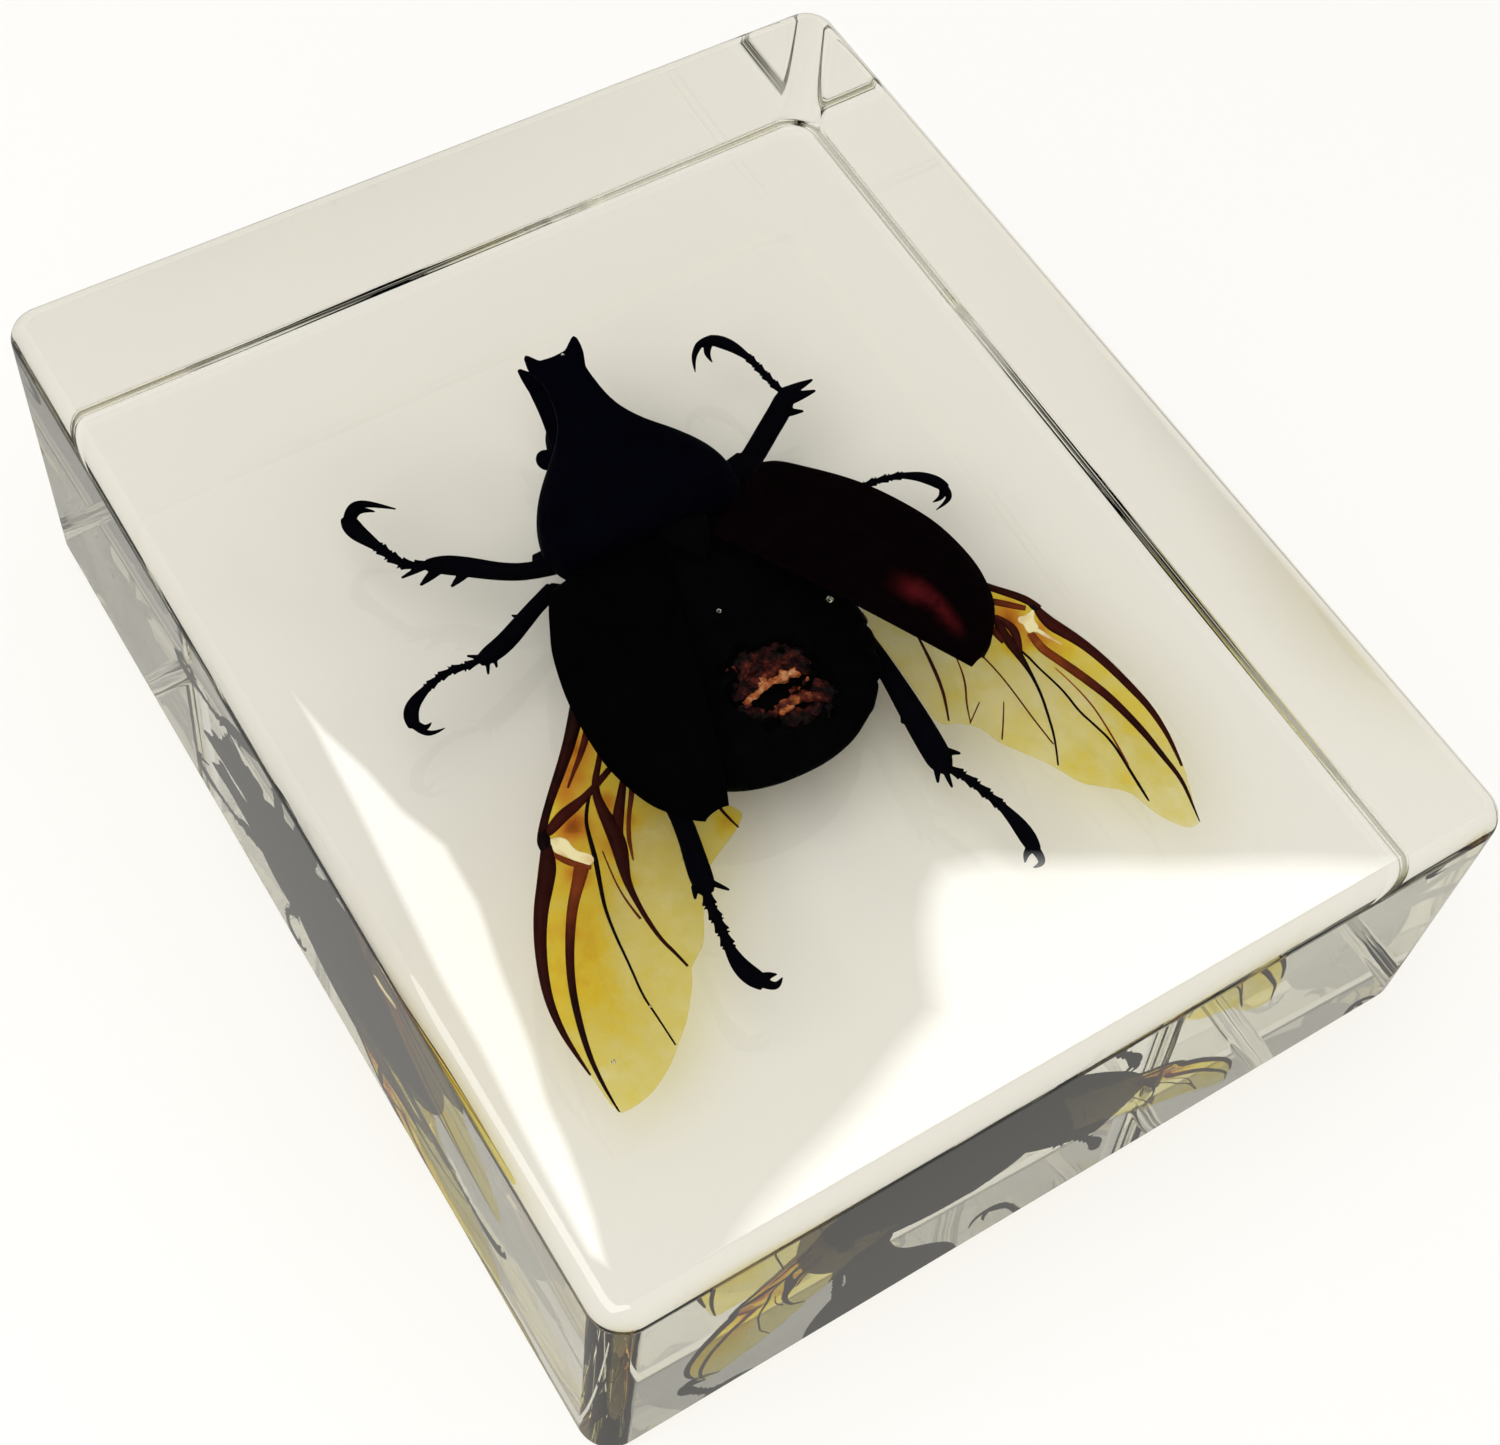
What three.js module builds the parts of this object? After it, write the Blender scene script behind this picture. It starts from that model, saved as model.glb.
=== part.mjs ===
// Clear cast block of polyester resin that seals a mounted rhinoceros beetle.
// Millimetres. +Z is up. +Y is the long way of the block, towards the beetle's horn.
// The origin is the middle of the face that the block rests on.
import * as THREE from 'three';

// Driving dimensions
const BLOCK_LENGTH = 110;        // along Y
const BLOCK_WIDTH = 89;          // along X
const BLOCK_HEIGHT = 34;         // along Z
const UPRIGHT_EDGE_RADIUS = 3.2; // the four upright corners of the mould
const TOP_EDGE_RADIUS = 2;       // polished edge around the top face
const BASE_EDGE_RADIUS = 1.5;    // edge of the ground and polished base
const STEPS_PER_QUARTER = 6;     // facets in each quarter round

// The walls' profile as steps of { inset, z }: in from the upright walls, up from the base.
function wallProfile() {
  const steps = [];
  for (let i = 0; i <= STEPS_PER_QUARTER; i++) {
    const turn = (i / STEPS_PER_QUARTER) * (Math.PI / 2);
    steps.push({
      inset: BASE_EDGE_RADIUS * (1 - Math.sin(turn)),
      z: BASE_EDGE_RADIUS * (1 - Math.cos(turn)),
    });
  }
  for (let i = 0; i <= STEPS_PER_QUARTER; i++) {
    const turn = (i / STEPS_PER_QUARTER) * (Math.PI / 2);
    steps.push({
      inset: TOP_EDGE_RADIUS * (1 - Math.cos(turn)),
      z: BLOCK_HEIGHT - TOP_EDGE_RADIUS * (1 - Math.sin(turn)),
    });
  }
  return steps;
}

// One level of the block: a rectangle with rounded corners, anticlockwise seen from above.
// Every level turns about the same four corner centres, so an inset only shrinks the corner radius.
function outlineAt({ inset, z }) {
  const centreX = BLOCK_WIDTH / 2 - UPRIGHT_EDGE_RADIUS;
  const centreY = BLOCK_LENGTH / 2 - UPRIGHT_EDGE_RADIUS;
  const corners = [[1, 1], [-1, 1], [-1, -1], [1, -1]];
  const radius = UPRIGHT_EDGE_RADIUS - inset;
  const points = [];
  corners.forEach(([sideX, sideY], corner) => {
    for (let i = 0; i <= STEPS_PER_QUARTER; i++) {
      const turn = (corner + i / STEPS_PER_QUARTER) * (Math.PI / 2);
      points.push(new THREE.Vector3(
        sideX * centreX + radius * Math.cos(turn),
        sideY * centreY + radius * Math.sin(turn),
        z,
      ));
    }
  });
  return points;
}

// The closed block: its levels joined by bands of quads, and a flat cap at each end.
function castBlock() {
  const levels = wallProfile().map(outlineAt);
  const around = levels[0].length;
  const indices = [];
  for (let level = 0; level + 1 < levels.length; level++) {
    for (let i = 0; i < around; i++) {
      const lower = level * around + i;
      const lowerNext = level * around + (i + 1) % around;
      indices.push(lower, lowerNext, lowerNext + around);
      indices.push(lower, lowerNext + around, lower + around);
    }
  }
  const topStart = (levels.length - 1) * around;
  for (let i = 1; i + 1 < around; i++) {
    indices.push(0, i + 1, i);
    indices.push(topStart, topStart + i, topStart + i + 1);
  }
  const geometry = new THREE.BufferGeometry().setFromPoints(levels.flat());
  geometry.setIndex(indices);
  geometry.computeVertexNormals();
  return geometry;
}

const clearResin = new THREE.MeshStandardMaterial({
  color: 0xf4f1e6,
  roughness: 0.02,
  metalness: 0,
  transparent: true,
  opacity: 0.35,
});

const resinBlock = new THREE.Mesh(castBlock(), clearResin);
resinBlock.name = 'resin_block';

const insectInResin = new THREE.Group();
insectInResin.name = 'insect_in_resin_block';
insectInResin.add(resinBlock);

export default insectInResin;
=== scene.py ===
import math
import random
from itertools import accumulate

import bpy
from mathutils import Matrix, Vector, noise


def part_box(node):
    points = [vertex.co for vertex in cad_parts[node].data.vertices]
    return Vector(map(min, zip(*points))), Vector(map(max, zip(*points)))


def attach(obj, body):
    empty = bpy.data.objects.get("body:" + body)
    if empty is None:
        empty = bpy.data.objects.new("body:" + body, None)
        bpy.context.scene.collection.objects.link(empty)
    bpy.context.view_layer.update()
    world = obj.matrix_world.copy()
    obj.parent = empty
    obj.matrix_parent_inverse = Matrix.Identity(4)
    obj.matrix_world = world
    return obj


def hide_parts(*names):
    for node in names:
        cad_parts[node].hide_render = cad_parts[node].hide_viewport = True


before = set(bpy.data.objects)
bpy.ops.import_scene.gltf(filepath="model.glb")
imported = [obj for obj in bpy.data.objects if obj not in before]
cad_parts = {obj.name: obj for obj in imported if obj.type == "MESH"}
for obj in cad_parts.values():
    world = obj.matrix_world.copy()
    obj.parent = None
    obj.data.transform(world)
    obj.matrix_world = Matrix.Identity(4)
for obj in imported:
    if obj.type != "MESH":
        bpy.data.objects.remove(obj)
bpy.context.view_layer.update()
scene = bpy.context.scene


# ---- Thorax shield --------------------------------------------------------------------------------------
# The pronotum is one horny plate of black chitin that arches over the front of the body and runs out in a
# long horn with a forked tip. It grew as one shell, so it is drawn out ring by ring and melted together.
# The insect is modelled in millimetres round its own long axis, then set in its place in the block.
MM = 0.001
BEETLE_TURN = math.radians(-3.3)
BEETLE_ACROSS = -1.15

SHIELD_RINGS = [
    # along, across, height, half width, half depth
    (10.6, 0.2, 12.8, 7.4, 4.0),
    (11.1, 0.2, 12.8, 8.9, 5.4),
    (12.2, 0.2, 13.0, 9.9, 6.4),
    (14.5, 0.2, 13.1, 10.4, 7.1),
    (16.8, 0.4, 13.4, 10.0, 7.2),
    (18.8, 0.4, 13.6, 9.05, 6.9),
    (20.6, 0.3, 13.9, 7.7, 6.3),
    (22.2, 0.2, 14.5, 6.1, 5.4),
    (23.4, 0.1, 16.0, 4.7, 3.8),
    (24.6, 0, 17.6, 3.5, 2.4),
    (26.4, 0, 18.4, 2.7, 1.6),
    (28.6, 0, 18.6, 2.4, 1.35),
    (30.8, 0, 18.6, 2.35, 1.2),
    (32.0, 0, 18.5, 2.6, 1.05),
]
SHIELD_PRONGS = [
    [(1.2, 30.4, 18.6, 1.1), (1.9, 32.0, 18.6, 1.05), (2.45, 33.0, 18.9, 0.75), (2.85, 33.9, 19.3, 0.2)],
    [(-1.2, 30.4, 18.6, 1.1), (-1.9, 31.7, 18.6, 1.05), (-2.25, 32.8, 18.9, 0.7), (-2.5, 33.7, 19.3, 0.2)],
    [(-2.1, 32.1, 18.6, 0.75), (0.4, 31.9, 18.6, 0.85), (2.2, 32.3, 18.7, 0.75)],
]
FURROW_WIDTH = 0.9
FURROW_DEPTH = 0.3
PLATE_WAVES = 0.12


def only(obj):
    """Makes this the one selected object, as a click on it would."""
    bpy.ops.object.select_all(action="DESELECT")
    obj.select_set(True)
    bpy.context.view_layer.objects.active = obj


def apply_modifier(obj, kind, **settings):
    only(obj)
    modifier = obj.modifiers.new(kind.title(), kind)
    for name, value in settings.items():
        setattr(modifier, name, value)
    bpy.ops.object.modifier_apply(modifier=modifier.name)


def drawn_body(rings, sides=28, fullness=2.0):
    """A closed body extruded from ring to ring. Fullness 2 gives oval rings, more gives squarer ones."""
    along, across, height, half_width, half_depth = rings[0]
    bpy.ops.object.select_all(action="DESELECT")
    bpy.ops.mesh.primitive_circle_add(vertices=sides, fill_type="NGON", rotation=(math.pi / 2, 0, 0))
    body = bpy.context.object
    bpy.ops.object.transform_apply(rotation=True)
    for vertex in body.data.vertices:
        x, y, z = vertex.co
        vertex.co.x = math.copysign(abs(x) ** (2 / fullness), x) * half_width + across
        vertex.co.y = along
        vertex.co.z = math.copysign(abs(z) ** (2 / fullness), z) * half_depth + height
    bpy.ops.object.mode_set(mode="EDIT")
    bpy.ops.mesh.select_all(action="SELECT")
    for last, ring in zip(rings, rings[1:]):
        step = (ring[1] - last[1], ring[0] - last[0], ring[2] - last[2])
        bpy.ops.mesh.extrude_region_move(TRANSFORM_OT_translate={"value": step})
        bpy.ops.transform.resize(
            value=(ring[3] / last[3], 1, ring[4] / last[4]),
            center_override=(ring[1], ring[0], ring[2]),
        )
    bpy.ops.mesh.select_all(action="SELECT")
    bpy.ops.mesh.normals_make_consistent(inside=False)
    bpy.ops.object.mode_set(mode="OBJECT")
    apply_modifier(body, "SUBSURF", levels=2, render_levels=2)
    return body


def rod(points, sides=3, rounded=True):
    """A tapered rod through points of (across, along, height, radius), with closed ends."""
    curve = bpy.data.curves.new("rod", "CURVE")
    curve.dimensions = "3D"
    curve.bevel_depth = 1
    curve.bevel_resolution = sides
    curve.use_fill_caps = True
    curve.resolution_u = 6
    line = curve.splines.new("NURBS" if rounded else "POLY")
    line.points.add(len(points) - 1)
    for place, (across, along, height, radius) in zip(line.points, points):
        place.co = (across, along, height, 1)
        place.radius = radius
    if rounded:
        line.order_u = min(3, len(points))
        line.use_endpoint_u = True
    obj = bpy.data.objects.new("rod", curve)
    scene.collection.objects.link(obj)
    only(obj)
    bpy.ops.object.convert(target="MESH")
    return bpy.context.object


def joined(name, parts):
    only(parts[0])
    for part in parts:
        part.select_set(True)
    if len(parts) > 1:
        bpy.ops.object.join()
    obj = bpy.context.object
    obj.name = name
    obj.data.name = name
    return obj


def melted(name, parts, grain, smoothing):
    """Joins parts that grew together and melts them into one closed skin of that grain size."""
    obj = joined(name, parts)
    apply_modifier(obj, "REMESH", mode="VOXEL", voxel_size=grain)
    apply_modifier(obj, "SMOOTH", factor=0.5, iterations=smoothing)
    return obj


def smoothstep(low, high, value):
    share = min(max((value - low) / (high - low), 0), 1)
    return share * share * (3 - 2 * share)


def seal(obj, finish):
    """Takes a piece from the beetle's own millimetres to its place in the block, and finishes it."""
    only(obj)
    obj.scale = (MM, MM, MM)
    obj.rotation_euler = (0, 0, BEETLE_TURN)
    obj.location = (BEETLE_ACROSS * MM, 0, 0)
    bpy.ops.object.transform_apply()
    bpy.ops.object.shade_smooth()
    obj.data.materials.clear()
    obj.data.materials.append(finish)
    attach(obj, "root")


def finish_with(name, values):
    """A new material with these plain values on its surface shader: the material, its tree, its surface."""
    material = bpy.data.materials.new(name)
    material.use_nodes = True
    surface = material.node_tree.nodes["Principled BSDF"]
    for socket, value in values.items():
        surface.inputs[socket].default_value = value
    return material, material.node_tree, surface


def node(tree, kind, values=None, **settings):
    """A new node with these settings, then these plain values on its sockets."""
    made = tree.nodes.new(kind)
    for name, value in settings.items():
        setattr(made, name, value)
    for socket, value in (values or {}).items():
        made.inputs[socket].default_value = value
    return made


def wire(tree, *joins):
    """Joins sockets, each join given as (node, output, node, input)."""
    for source, output, target, entry in joins:
        tree.links.new(source.outputs[output], target.inputs[entry])


def chitin_relief():
    """Fine pits and a slow mottling over the surface, for every horny plate and limb."""
    group = bpy.data.node_groups.new("chitin_relief", "ShaderNodeTree")
    for name, way, kind in (
        ("Position", "INPUT", "NodeSocketVector"),
        ("Pits per metre", "INPUT", "NodeSocketFloat"),
        ("Pits", "OUTPUT", "NodeSocketFloat"),
        ("Mottle", "OUTPUT", "NodeSocketFloat"),
    ):
        group.interface.new_socket(name, in_out=way, socket_type=kind)
    inside = node(group, "NodeGroupInput")
    outside = node(group, "NodeGroupOutput")
    pits = node(group, "ShaderNodeTexVoronoi")
    edge = node(group, "ShaderNodeMapRange", {"From Min": 0.05, "From Max": 0.38})
    mottle = node(group, "ShaderNodeTexNoise", {"Scale": 420, "Detail": 5})
    wire(
        group,
        (inside, "Position", pits, "Vector"),
        (inside, "Pits per metre", pits, "Scale"),
        (pits, "Distance", edge, "Value"),
        (edge, "Result", outside, "Pits"),
        (inside, "Position", mottle, "Vector"),
        (mottle, "Fac", outside, "Mottle"),
    )
    return group


CHITIN_RELIEF = chitin_relief()


def chitin(name, dark, light, pits_per_metre, gloss_from, gloss_to):
    """Sealed in resin of nearly its own index, chitin loses most of its shine, so its IOR is low."""
    material, tree, surface = finish_with(name, {"IOR": 1.04, "Specular IOR Level": 0.25})
    place = node(tree, "ShaderNodeTexCoord")
    relief = node(tree, "ShaderNodeGroup", {"Pits per metre": pits_per_metre}, node_tree=CHITIN_RELIEF)
    colour = node(tree, "ShaderNodeMix", {"A": (*dark, 1), "B": (*light, 1)}, data_type="RGBA")
    gloss = node(tree, "ShaderNodeMapRange", {"To Min": gloss_from, "To Max": gloss_to})
    bump = node(tree, "ShaderNodeBump", {"Strength": 0.5, "Distance": 0.00002})
    wire(
        tree,
        (place, "Object", relief, "Position"),
        (relief, "Mottle", colour, "Factor"),
        (relief, "Mottle", gloss, "Value"),
        (relief, "Pits", bump, "Height"),
        (colour, "Result", surface, "Base Color"),
        (gloss, "Result", surface, "Roughness"),
        (bump, "Normal", surface, "Normal"),
    )
    return material


# the blue in this near-black colour is a painted navy sheen, on the shield and the head alike
HORN_CHITIN_PAINTED_SHEEN = chitin("horn_chitin_navy_sheen", (0.0002, 0.0003, 0.0012), (0.0009, 0.0012, 0.0042), 5200, 0.4, 0.55)

shield = melted(
    "pronotum",
    [drawn_body(SHIELD_RINGS, fullness=2.25), *[rod(prong) for prong in SHIELD_PRONGS]],
    grain=0.16,
    smoothing=6,
)
for vertex in shield.data.vertices:
    across, along, height = vertex.co
    # a shallow furrow down the middle of the horn, and low waves in the plate
    furrow = math.exp(-((across / FURROW_WIDTH) ** 2))
    furrow *= smoothstep(20, 26, along) * smoothstep(18, 19.4, height)
    vertex.co.z += PLATE_WAVES * noise.noise(vertex.co * 0.35) - FURROW_DEPTH * furrow
seal(shield, HORN_CHITIN_PAINTED_SHEEN)


# ---- Head -----------------------------------------------------------------------------------------------
# The head hangs in front of and below the shield, with a second forked horn that curves forward under the
# first, two eyes at its sides, jaws and short palps beneath. Its skull, horn and eyes are one hard capsule.
SKULL_RINGS = [
    (20.4, 0, 11.0, 3.8, 3.0),
    (22.0, 0, 11.0, 4.6, 3.7),
    (24.0, 0, 10.9, 4.3, 3.7),
    (26.0, 0, 10.3, 3.9, 3.1),
    (27.8, 0, 9.4, 3.3, 2.2),
    (29.0, 0, 8.8, 2.5, 1.3),
    (29.5, 0, 8.6, 2.2, 0.8),
]
HEAD_HORN_RINGS = [
    (24.0, 0, 11.2, 3.7, 2.4),
    (26.0, 0, 11.9, 3.6, 2.2),
    (27.8, 0, 12.4, 3.25, 1.9),
    (30.1, 0, 13.0, 3.0, 1.6),
    (32.0, 0, 13.3, 2.95, 1.3),
    (33.0, 0, 13.4, 2.7, 1.0),
]
EYE = (4.35, 25.2, 10.3)
EYE_RADII = (1.0, 1.15, 1.2)

HEAD_RODS = [
    # one side's points of (across, along, height, radius), first for the tip of the horn's fork
    [(1.7, 31.4, 13.3, 1.2), (2.0, 32.8, 13.5, 1.0), (2.4, 33.7, 13.7, 0.65), (2.75, 34.6, 14.0, 0.2)],
    # a small tooth at the end of the clypeus, and the jaw and two palps below it
    [(1.3, 28.8, 9.2, 0.7), (1.7, 30.2, 9.5, 0.25)],
    [(1.1, 27.2, 7.9, 0.8), (1.5, 28.4, 7.6, 0.55), (1.0, 29.4, 7.8, 0.3)],
    [(1.4, 26.2, 7.4, 0.35), (1.8, 27.2, 6.7, 0.3), (1.6, 28.4, 6.5, 0.35)],
    [(0.7, 26.6, 7.3, 0.3), (0.9, 27.9, 6.6, 0.28), (0.6, 28.9, 6.6, 0.3)],
]


def ball(place, radii):
    bpy.ops.object.select_all(action="DESELECT")
    bpy.ops.mesh.primitive_uv_sphere_add(segments=24, ring_count=16, location=place, scale=radii)
    obj = bpy.context.object
    bpy.ops.object.transform_apply()
    return obj


head_parts = [drawn_body(SKULL_RINGS), drawn_body(HEAD_HORN_RINGS)]
for side in (-1, 1):
    head_parts.append(ball((EYE[0] * side, EYE[1], EYE[2]), EYE_RADII))
    for line in HEAD_RODS:
        head_parts.append(rod([(across * side, *rest) for across, *rest in line]))
head = melted("head", head_parts, grain=0.12, smoothing=3)
seal(head, HORN_CHITIN_PAINTED_SHEEN)


# ---- Feelers --------------------------------------------------------------------------------------------
# Each antenna is a short elbowed string of beads that ends in a club of three leaves, folded close under
# the side of the head.
CLUB_CHITIN = chitin("club_chitin", (0.004, 0.002, 0.002), (0.016, 0.006, 0.005), 3400, 0.4, 0.6)
FEELER_STEM = [(2.9, 25.2, 8.4), (3.9, 25.8, 8.4), (4.2, 25.2, 8.7)]
FEELER_BEADS = [(4.2, 25.2, 8.7), (4.25, 24.8, 8.7), (4.2, 24.4, 8.8), (4.15, 24.0, 8.9)]
CLUB_LEAVES = [(4.15, 23.2, 9.3), (4.4, 23.2, 8.9), (4.2, 23.2, 8.5)]

for side, name in ((-1, "antenna_left"), (1, "antenna_right")):
    feeler = [rod([(x * side, y, z, 0.28) for x, y, z in FEELER_STEM])]
    for x, y, z in FEELER_BEADS:
        feeler.append(ball((x * side, y, z), (0.3, 0.27, 0.3)))
    for x, y, z in CLUB_LEAVES:
        feeler.append(ball((x * side, y, z), (0.3, 1.0, 0.42)))
    seal(melted(name, feeler, grain=0.07, smoothing=1), CLUB_CHITIN)


# ---- Chest ----------------------------------------------------------------------------------------------
# Behind the shield the chest is a broad keel of fused plates below, which holds the sockets of the middle
# and hind legs, and a flat back above that the wings hinge on. The scutellum is its small triangular plate.
BODY_CHITIN = chitin("body_chitin", (0.0003, 0.0004, 0.0004), (0.0012, 0.0016, 0.0016), 5600, 0.45, 0.6)
CHEST_RINGS = [
    (11.6, 0, 11.4, 7.6, 4.2),
    (10.6, 0, 11.3, 8.8, 5.0),
    (8.0, 0.2, 11.2, 9.8, 5.4),
    (5.0, 0.3, 11.1, 10.9, 5.5),
    (2.0, 0.5, 11.0, 11.8, 5.3),
    (-0.6, 0.7, 11.0, 11.4, 4.7),
    (-1.6, 0.7, 11.0, 9.6, 3.6),
]
LEG_SOCKETS = [
    # across, along, radii: the barrel-shaped bases that the middle and hind legs turn in
    (3.4, 8.0, (3.0, 1.9, 1.7)),
    (3.9, 2.6, (3.9, 1.9, 1.7)),
]
SOCKET_HEIGHT = 7.0

chest_parts = [drawn_body(CHEST_RINGS, fullness=2.4)]
for across, along, radii in LEG_SOCKETS:
    for side in (-1, 1):
        chest_parts.append(ball((across * side + 0.3, along, SOCKET_HEIGHT), radii))
chest_parts.append(rod([(0.2, 11.5, 7.0, 0.9), (0.3, 7.0, 6.1, 0.8), (0.4, 1.5, 6.3, 0.7)]))
chest = melted("thorax", chest_parts, grain=0.2, smoothing=4)
seal(chest, BODY_CHITIN)

SCUTELLUM_RINGS = [
    (10.9, 2.3, 17.6, 2.7, 0.75),
    (10.0, 2.3, 17.9, 2.6, 0.75),
    (8.4, 2.4, 17.9, 1.9, 0.7),
    (7.0, 2.4, 17.7, 1.0, 0.6),
    (6.2, 2.5, 17.3, 0.35, 0.4),
]
seal(melted("scutellum", [drawn_body(SCUTELLUM_RINGS)], grain=0.12, smoothing=3), BODY_CHITIN)


# ---- Abdomen --------------------------------------------------------------------------------------------
# The belly is a sac of seven horny rings that overlap like tiles, each with its hind edge a little proud.
# Its back is torn open between the wing cases, and the dried tissue of the inside shows there.
ABDOMEN_RINGS = [
    # along, half width, top, bottom
    (4.0, 10.5, 15.6, 6.6),
    (1.5, 12.6, 16.0, 6.0),
    (-2.0, 13.5, 16.2, 5.8),
    (-5.5, 13.3, 16.2, 5.9),
    (-8.5, 12.4, 16.0, 6.2),
    (-11.0, 10.9, 15.6, 6.9),
    (-13.2, 8.7, 15.0, 7.8),
    (-14.7, 6.5, 14.2, 9.0),
    (-15.6, 4.0, 13.3, 10.3),
    (-16.0, 1.8, 12.5, 11.3),
]
ABDOMEN_ACROSS = 0.8
ABDOMEN_FULLNESS = 2.3
SEGMENT_EDGES = (1.0, -1.8, -4.6, -7.4, -10.2, -13.0)
SEGMENT_STEP = 0.34
TEAR_CENTRE = (2.5, -8.0)
TEAR_RADII = (4.8, 4.9)
TEAR_DEPTH = 2.0
TEAR_LIP = 0.22
BACK_ABOVE = 12


def between(rows, along):
    """The row of values at this place along the body, from a table sorted from front to back."""
    for before, after in zip(rows, rows[1:]):
        if before[0] >= along >= after[0]:
            share = (before[0] - along) / (before[0] - after[0])
            return [a + (b - a) * share for a, b in zip(before[1:], after[1:])]
    return list(rows[-1][1:])


def abdomen_ring(along, proud):
    half_width, top, bottom = between(ABDOMEN_RINGS, along)
    return (along, ABDOMEN_ACROSS, (top + bottom) / 2, half_width + proud, (top - bottom) / 2 + proud)


def tear_distance(across, along):
    """0 in the middle of the tear and 1 at its ragged edge."""
    dx = (across - TEAR_CENTRE[0]) / TEAR_RADII[0]
    dy = (along - TEAR_CENTRE[1]) / TEAR_RADII[1]
    ragged = noise.noise((across * 0.8, along * 0.8, 3.1)) * 0.38
    return math.hypot(dx, dy + 0.1 * dx) + ragged


rings = [abdomen_ring(ring[0], 0) for ring in ABDOMEN_RINGS]
for edge in SEGMENT_EDGES:
    rings += [
        abdomen_ring(edge + 0.35, SEGMENT_STEP * 0.6),
        abdomen_ring(edge + 0.05, SEGMENT_STEP * 0.5),
        abdomen_ring(edge - 0.1, -SEGMENT_STEP),
        abdomen_ring(edge - 0.5, -SEGMENT_STEP * 0.4),
    ]
rings.sort(key=lambda ring: -ring[0])
abdomen = drawn_body(rings, sides=36, fullness=ABDOMEN_FULLNESS)
abdomen = melted("abdomen", [abdomen], grain=0.17, smoothing=1)
for vertex in abdomen.data.vertices:
    across, along, height = vertex.co
    if height > BACK_ABOVE:
        open_share = 1 - smoothstep(0.72, 1.05, tear_distance(across, along))
        lip = math.exp(-(((tear_distance(across, along) - 1.1) / 0.12) ** 2))
        vertex.co.z += TEAR_LIP * lip - TEAR_DEPTH * open_share
seal(abdomen, BODY_CHITIN)


# ---- Dried tissue ---------------------------------------------------------------------------------------
# Inside the tear lie the shrunken flight muscle and gut: a lumpy rust-brown bed with brighter strands that
# run across the body, low strands painted dark for the shade in the gaps between them, and pale crumbs.
def ramp(tree, *stops):
    """A colour ramp through stops of (place, colour), from the first to the last."""
    made = tree.nodes.new("ShaderNodeValToRGB")
    marks = made.color_ramp.elements
    for mark, (place, colour) in ((marks[0], stops[0]), (marks[1], stops[-1])):
        mark.position = place
        mark.color = (*colour, 1)
    for place, colour in stops[1:-1]:
        marks.new(place).color = (*colour, 1)
    return made


def tissue_finish():
    material, tree, surface = finish_with("dried_tissue", {"IOR": 1.2, "Roughness": 0.55})
    place = node(tree, "ShaderNodeTexCoord")
    lumps = node(tree, "ShaderNodeTexNoise", {"Scale": 1100, "Detail": 6, "Roughness": 0.65})
    # each strand's own tone, with painted shade in it towards the tear's rim
    tone_and_painted_shade = node(tree, "ShaderNodeAttribute", attribute_name="tone_and_painted_shade")
    lift = node(tree, "ShaderNodeMath", {1: 0.58}, operation="MULTIPLY_ADD")
    colour = ramp(
        tree,
        (0.17, (0.003, 0.001, 0.001)),
        (0.25, (0.022, 0.003, 0.003)),
        (0.34, (0.085, 0.012, 0.007)),
        (0.45, (0.36, 0.10, 0.028)),
        (0.58, (0.66, 0.38, 0.20)),
    )
    bump = node(tree, "ShaderNodeBump", {"Distance": 0.0003})
    wire(
        tree,
        (place, "Object", lumps, "Vector"),
        (lumps, "Fac", lift, 0),
        (tone_and_painted_shade, "Fac", lift, 2),
        (lift, "Value", colour, "Fac"),
        (lumps, "Fac", bump, "Height"),
        (colour, "Color", surface, "Base Color"),
        (bump, "Normal", surface, "Normal"),
    )
    return material


BRIGHT_STRAND = [(-1.1, -8.3), (0.5, -7.9), (2.2, -7.5), (3.6, -7.3), (4.8, -7.7)]
PALE_STRAND = [(1.2, -10.2), (2.6, -10.0), (4.0, -9.9), (5.2, -10.6), (5.9, -11.4)]
# low strands in the gaps between the brighter ones, painted dark as shade
GAP_STRANDS_PAINTED_DARK = [
    [(0.0, -4.7), (1.6, -4.0), (3.4, -3.9), (5.2, -4.6)],
    [(-1.2, -6.2), (0.6, -5.4), (2.6, -5.0), (4.6, -5.2), (6.0, -6.2)],
    [(-1.6, -7.3), (0.4, -6.8), (2.4, -6.2), (4.4, -6.3), (6.1, -7.3)],
    [(1.2, -11.4), (3.0, -11.7), (4.6, -11.6), (5.6, -12.0)],
    [(-1.9, -8.9), (-0.9, -9.6), (0.2, -10.3)],
    [(5.4, -9.2), (6.2, -10.0), (6.2, -11.0)],
]
TISSUE_BED = 14.3
STRAND_WANDER = 0.15
CRUMBS = 26
tissue_draw = random.Random(7)
# noise_vector starts from the clock unless it is given a seed
noise.seed_set(7)


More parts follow.
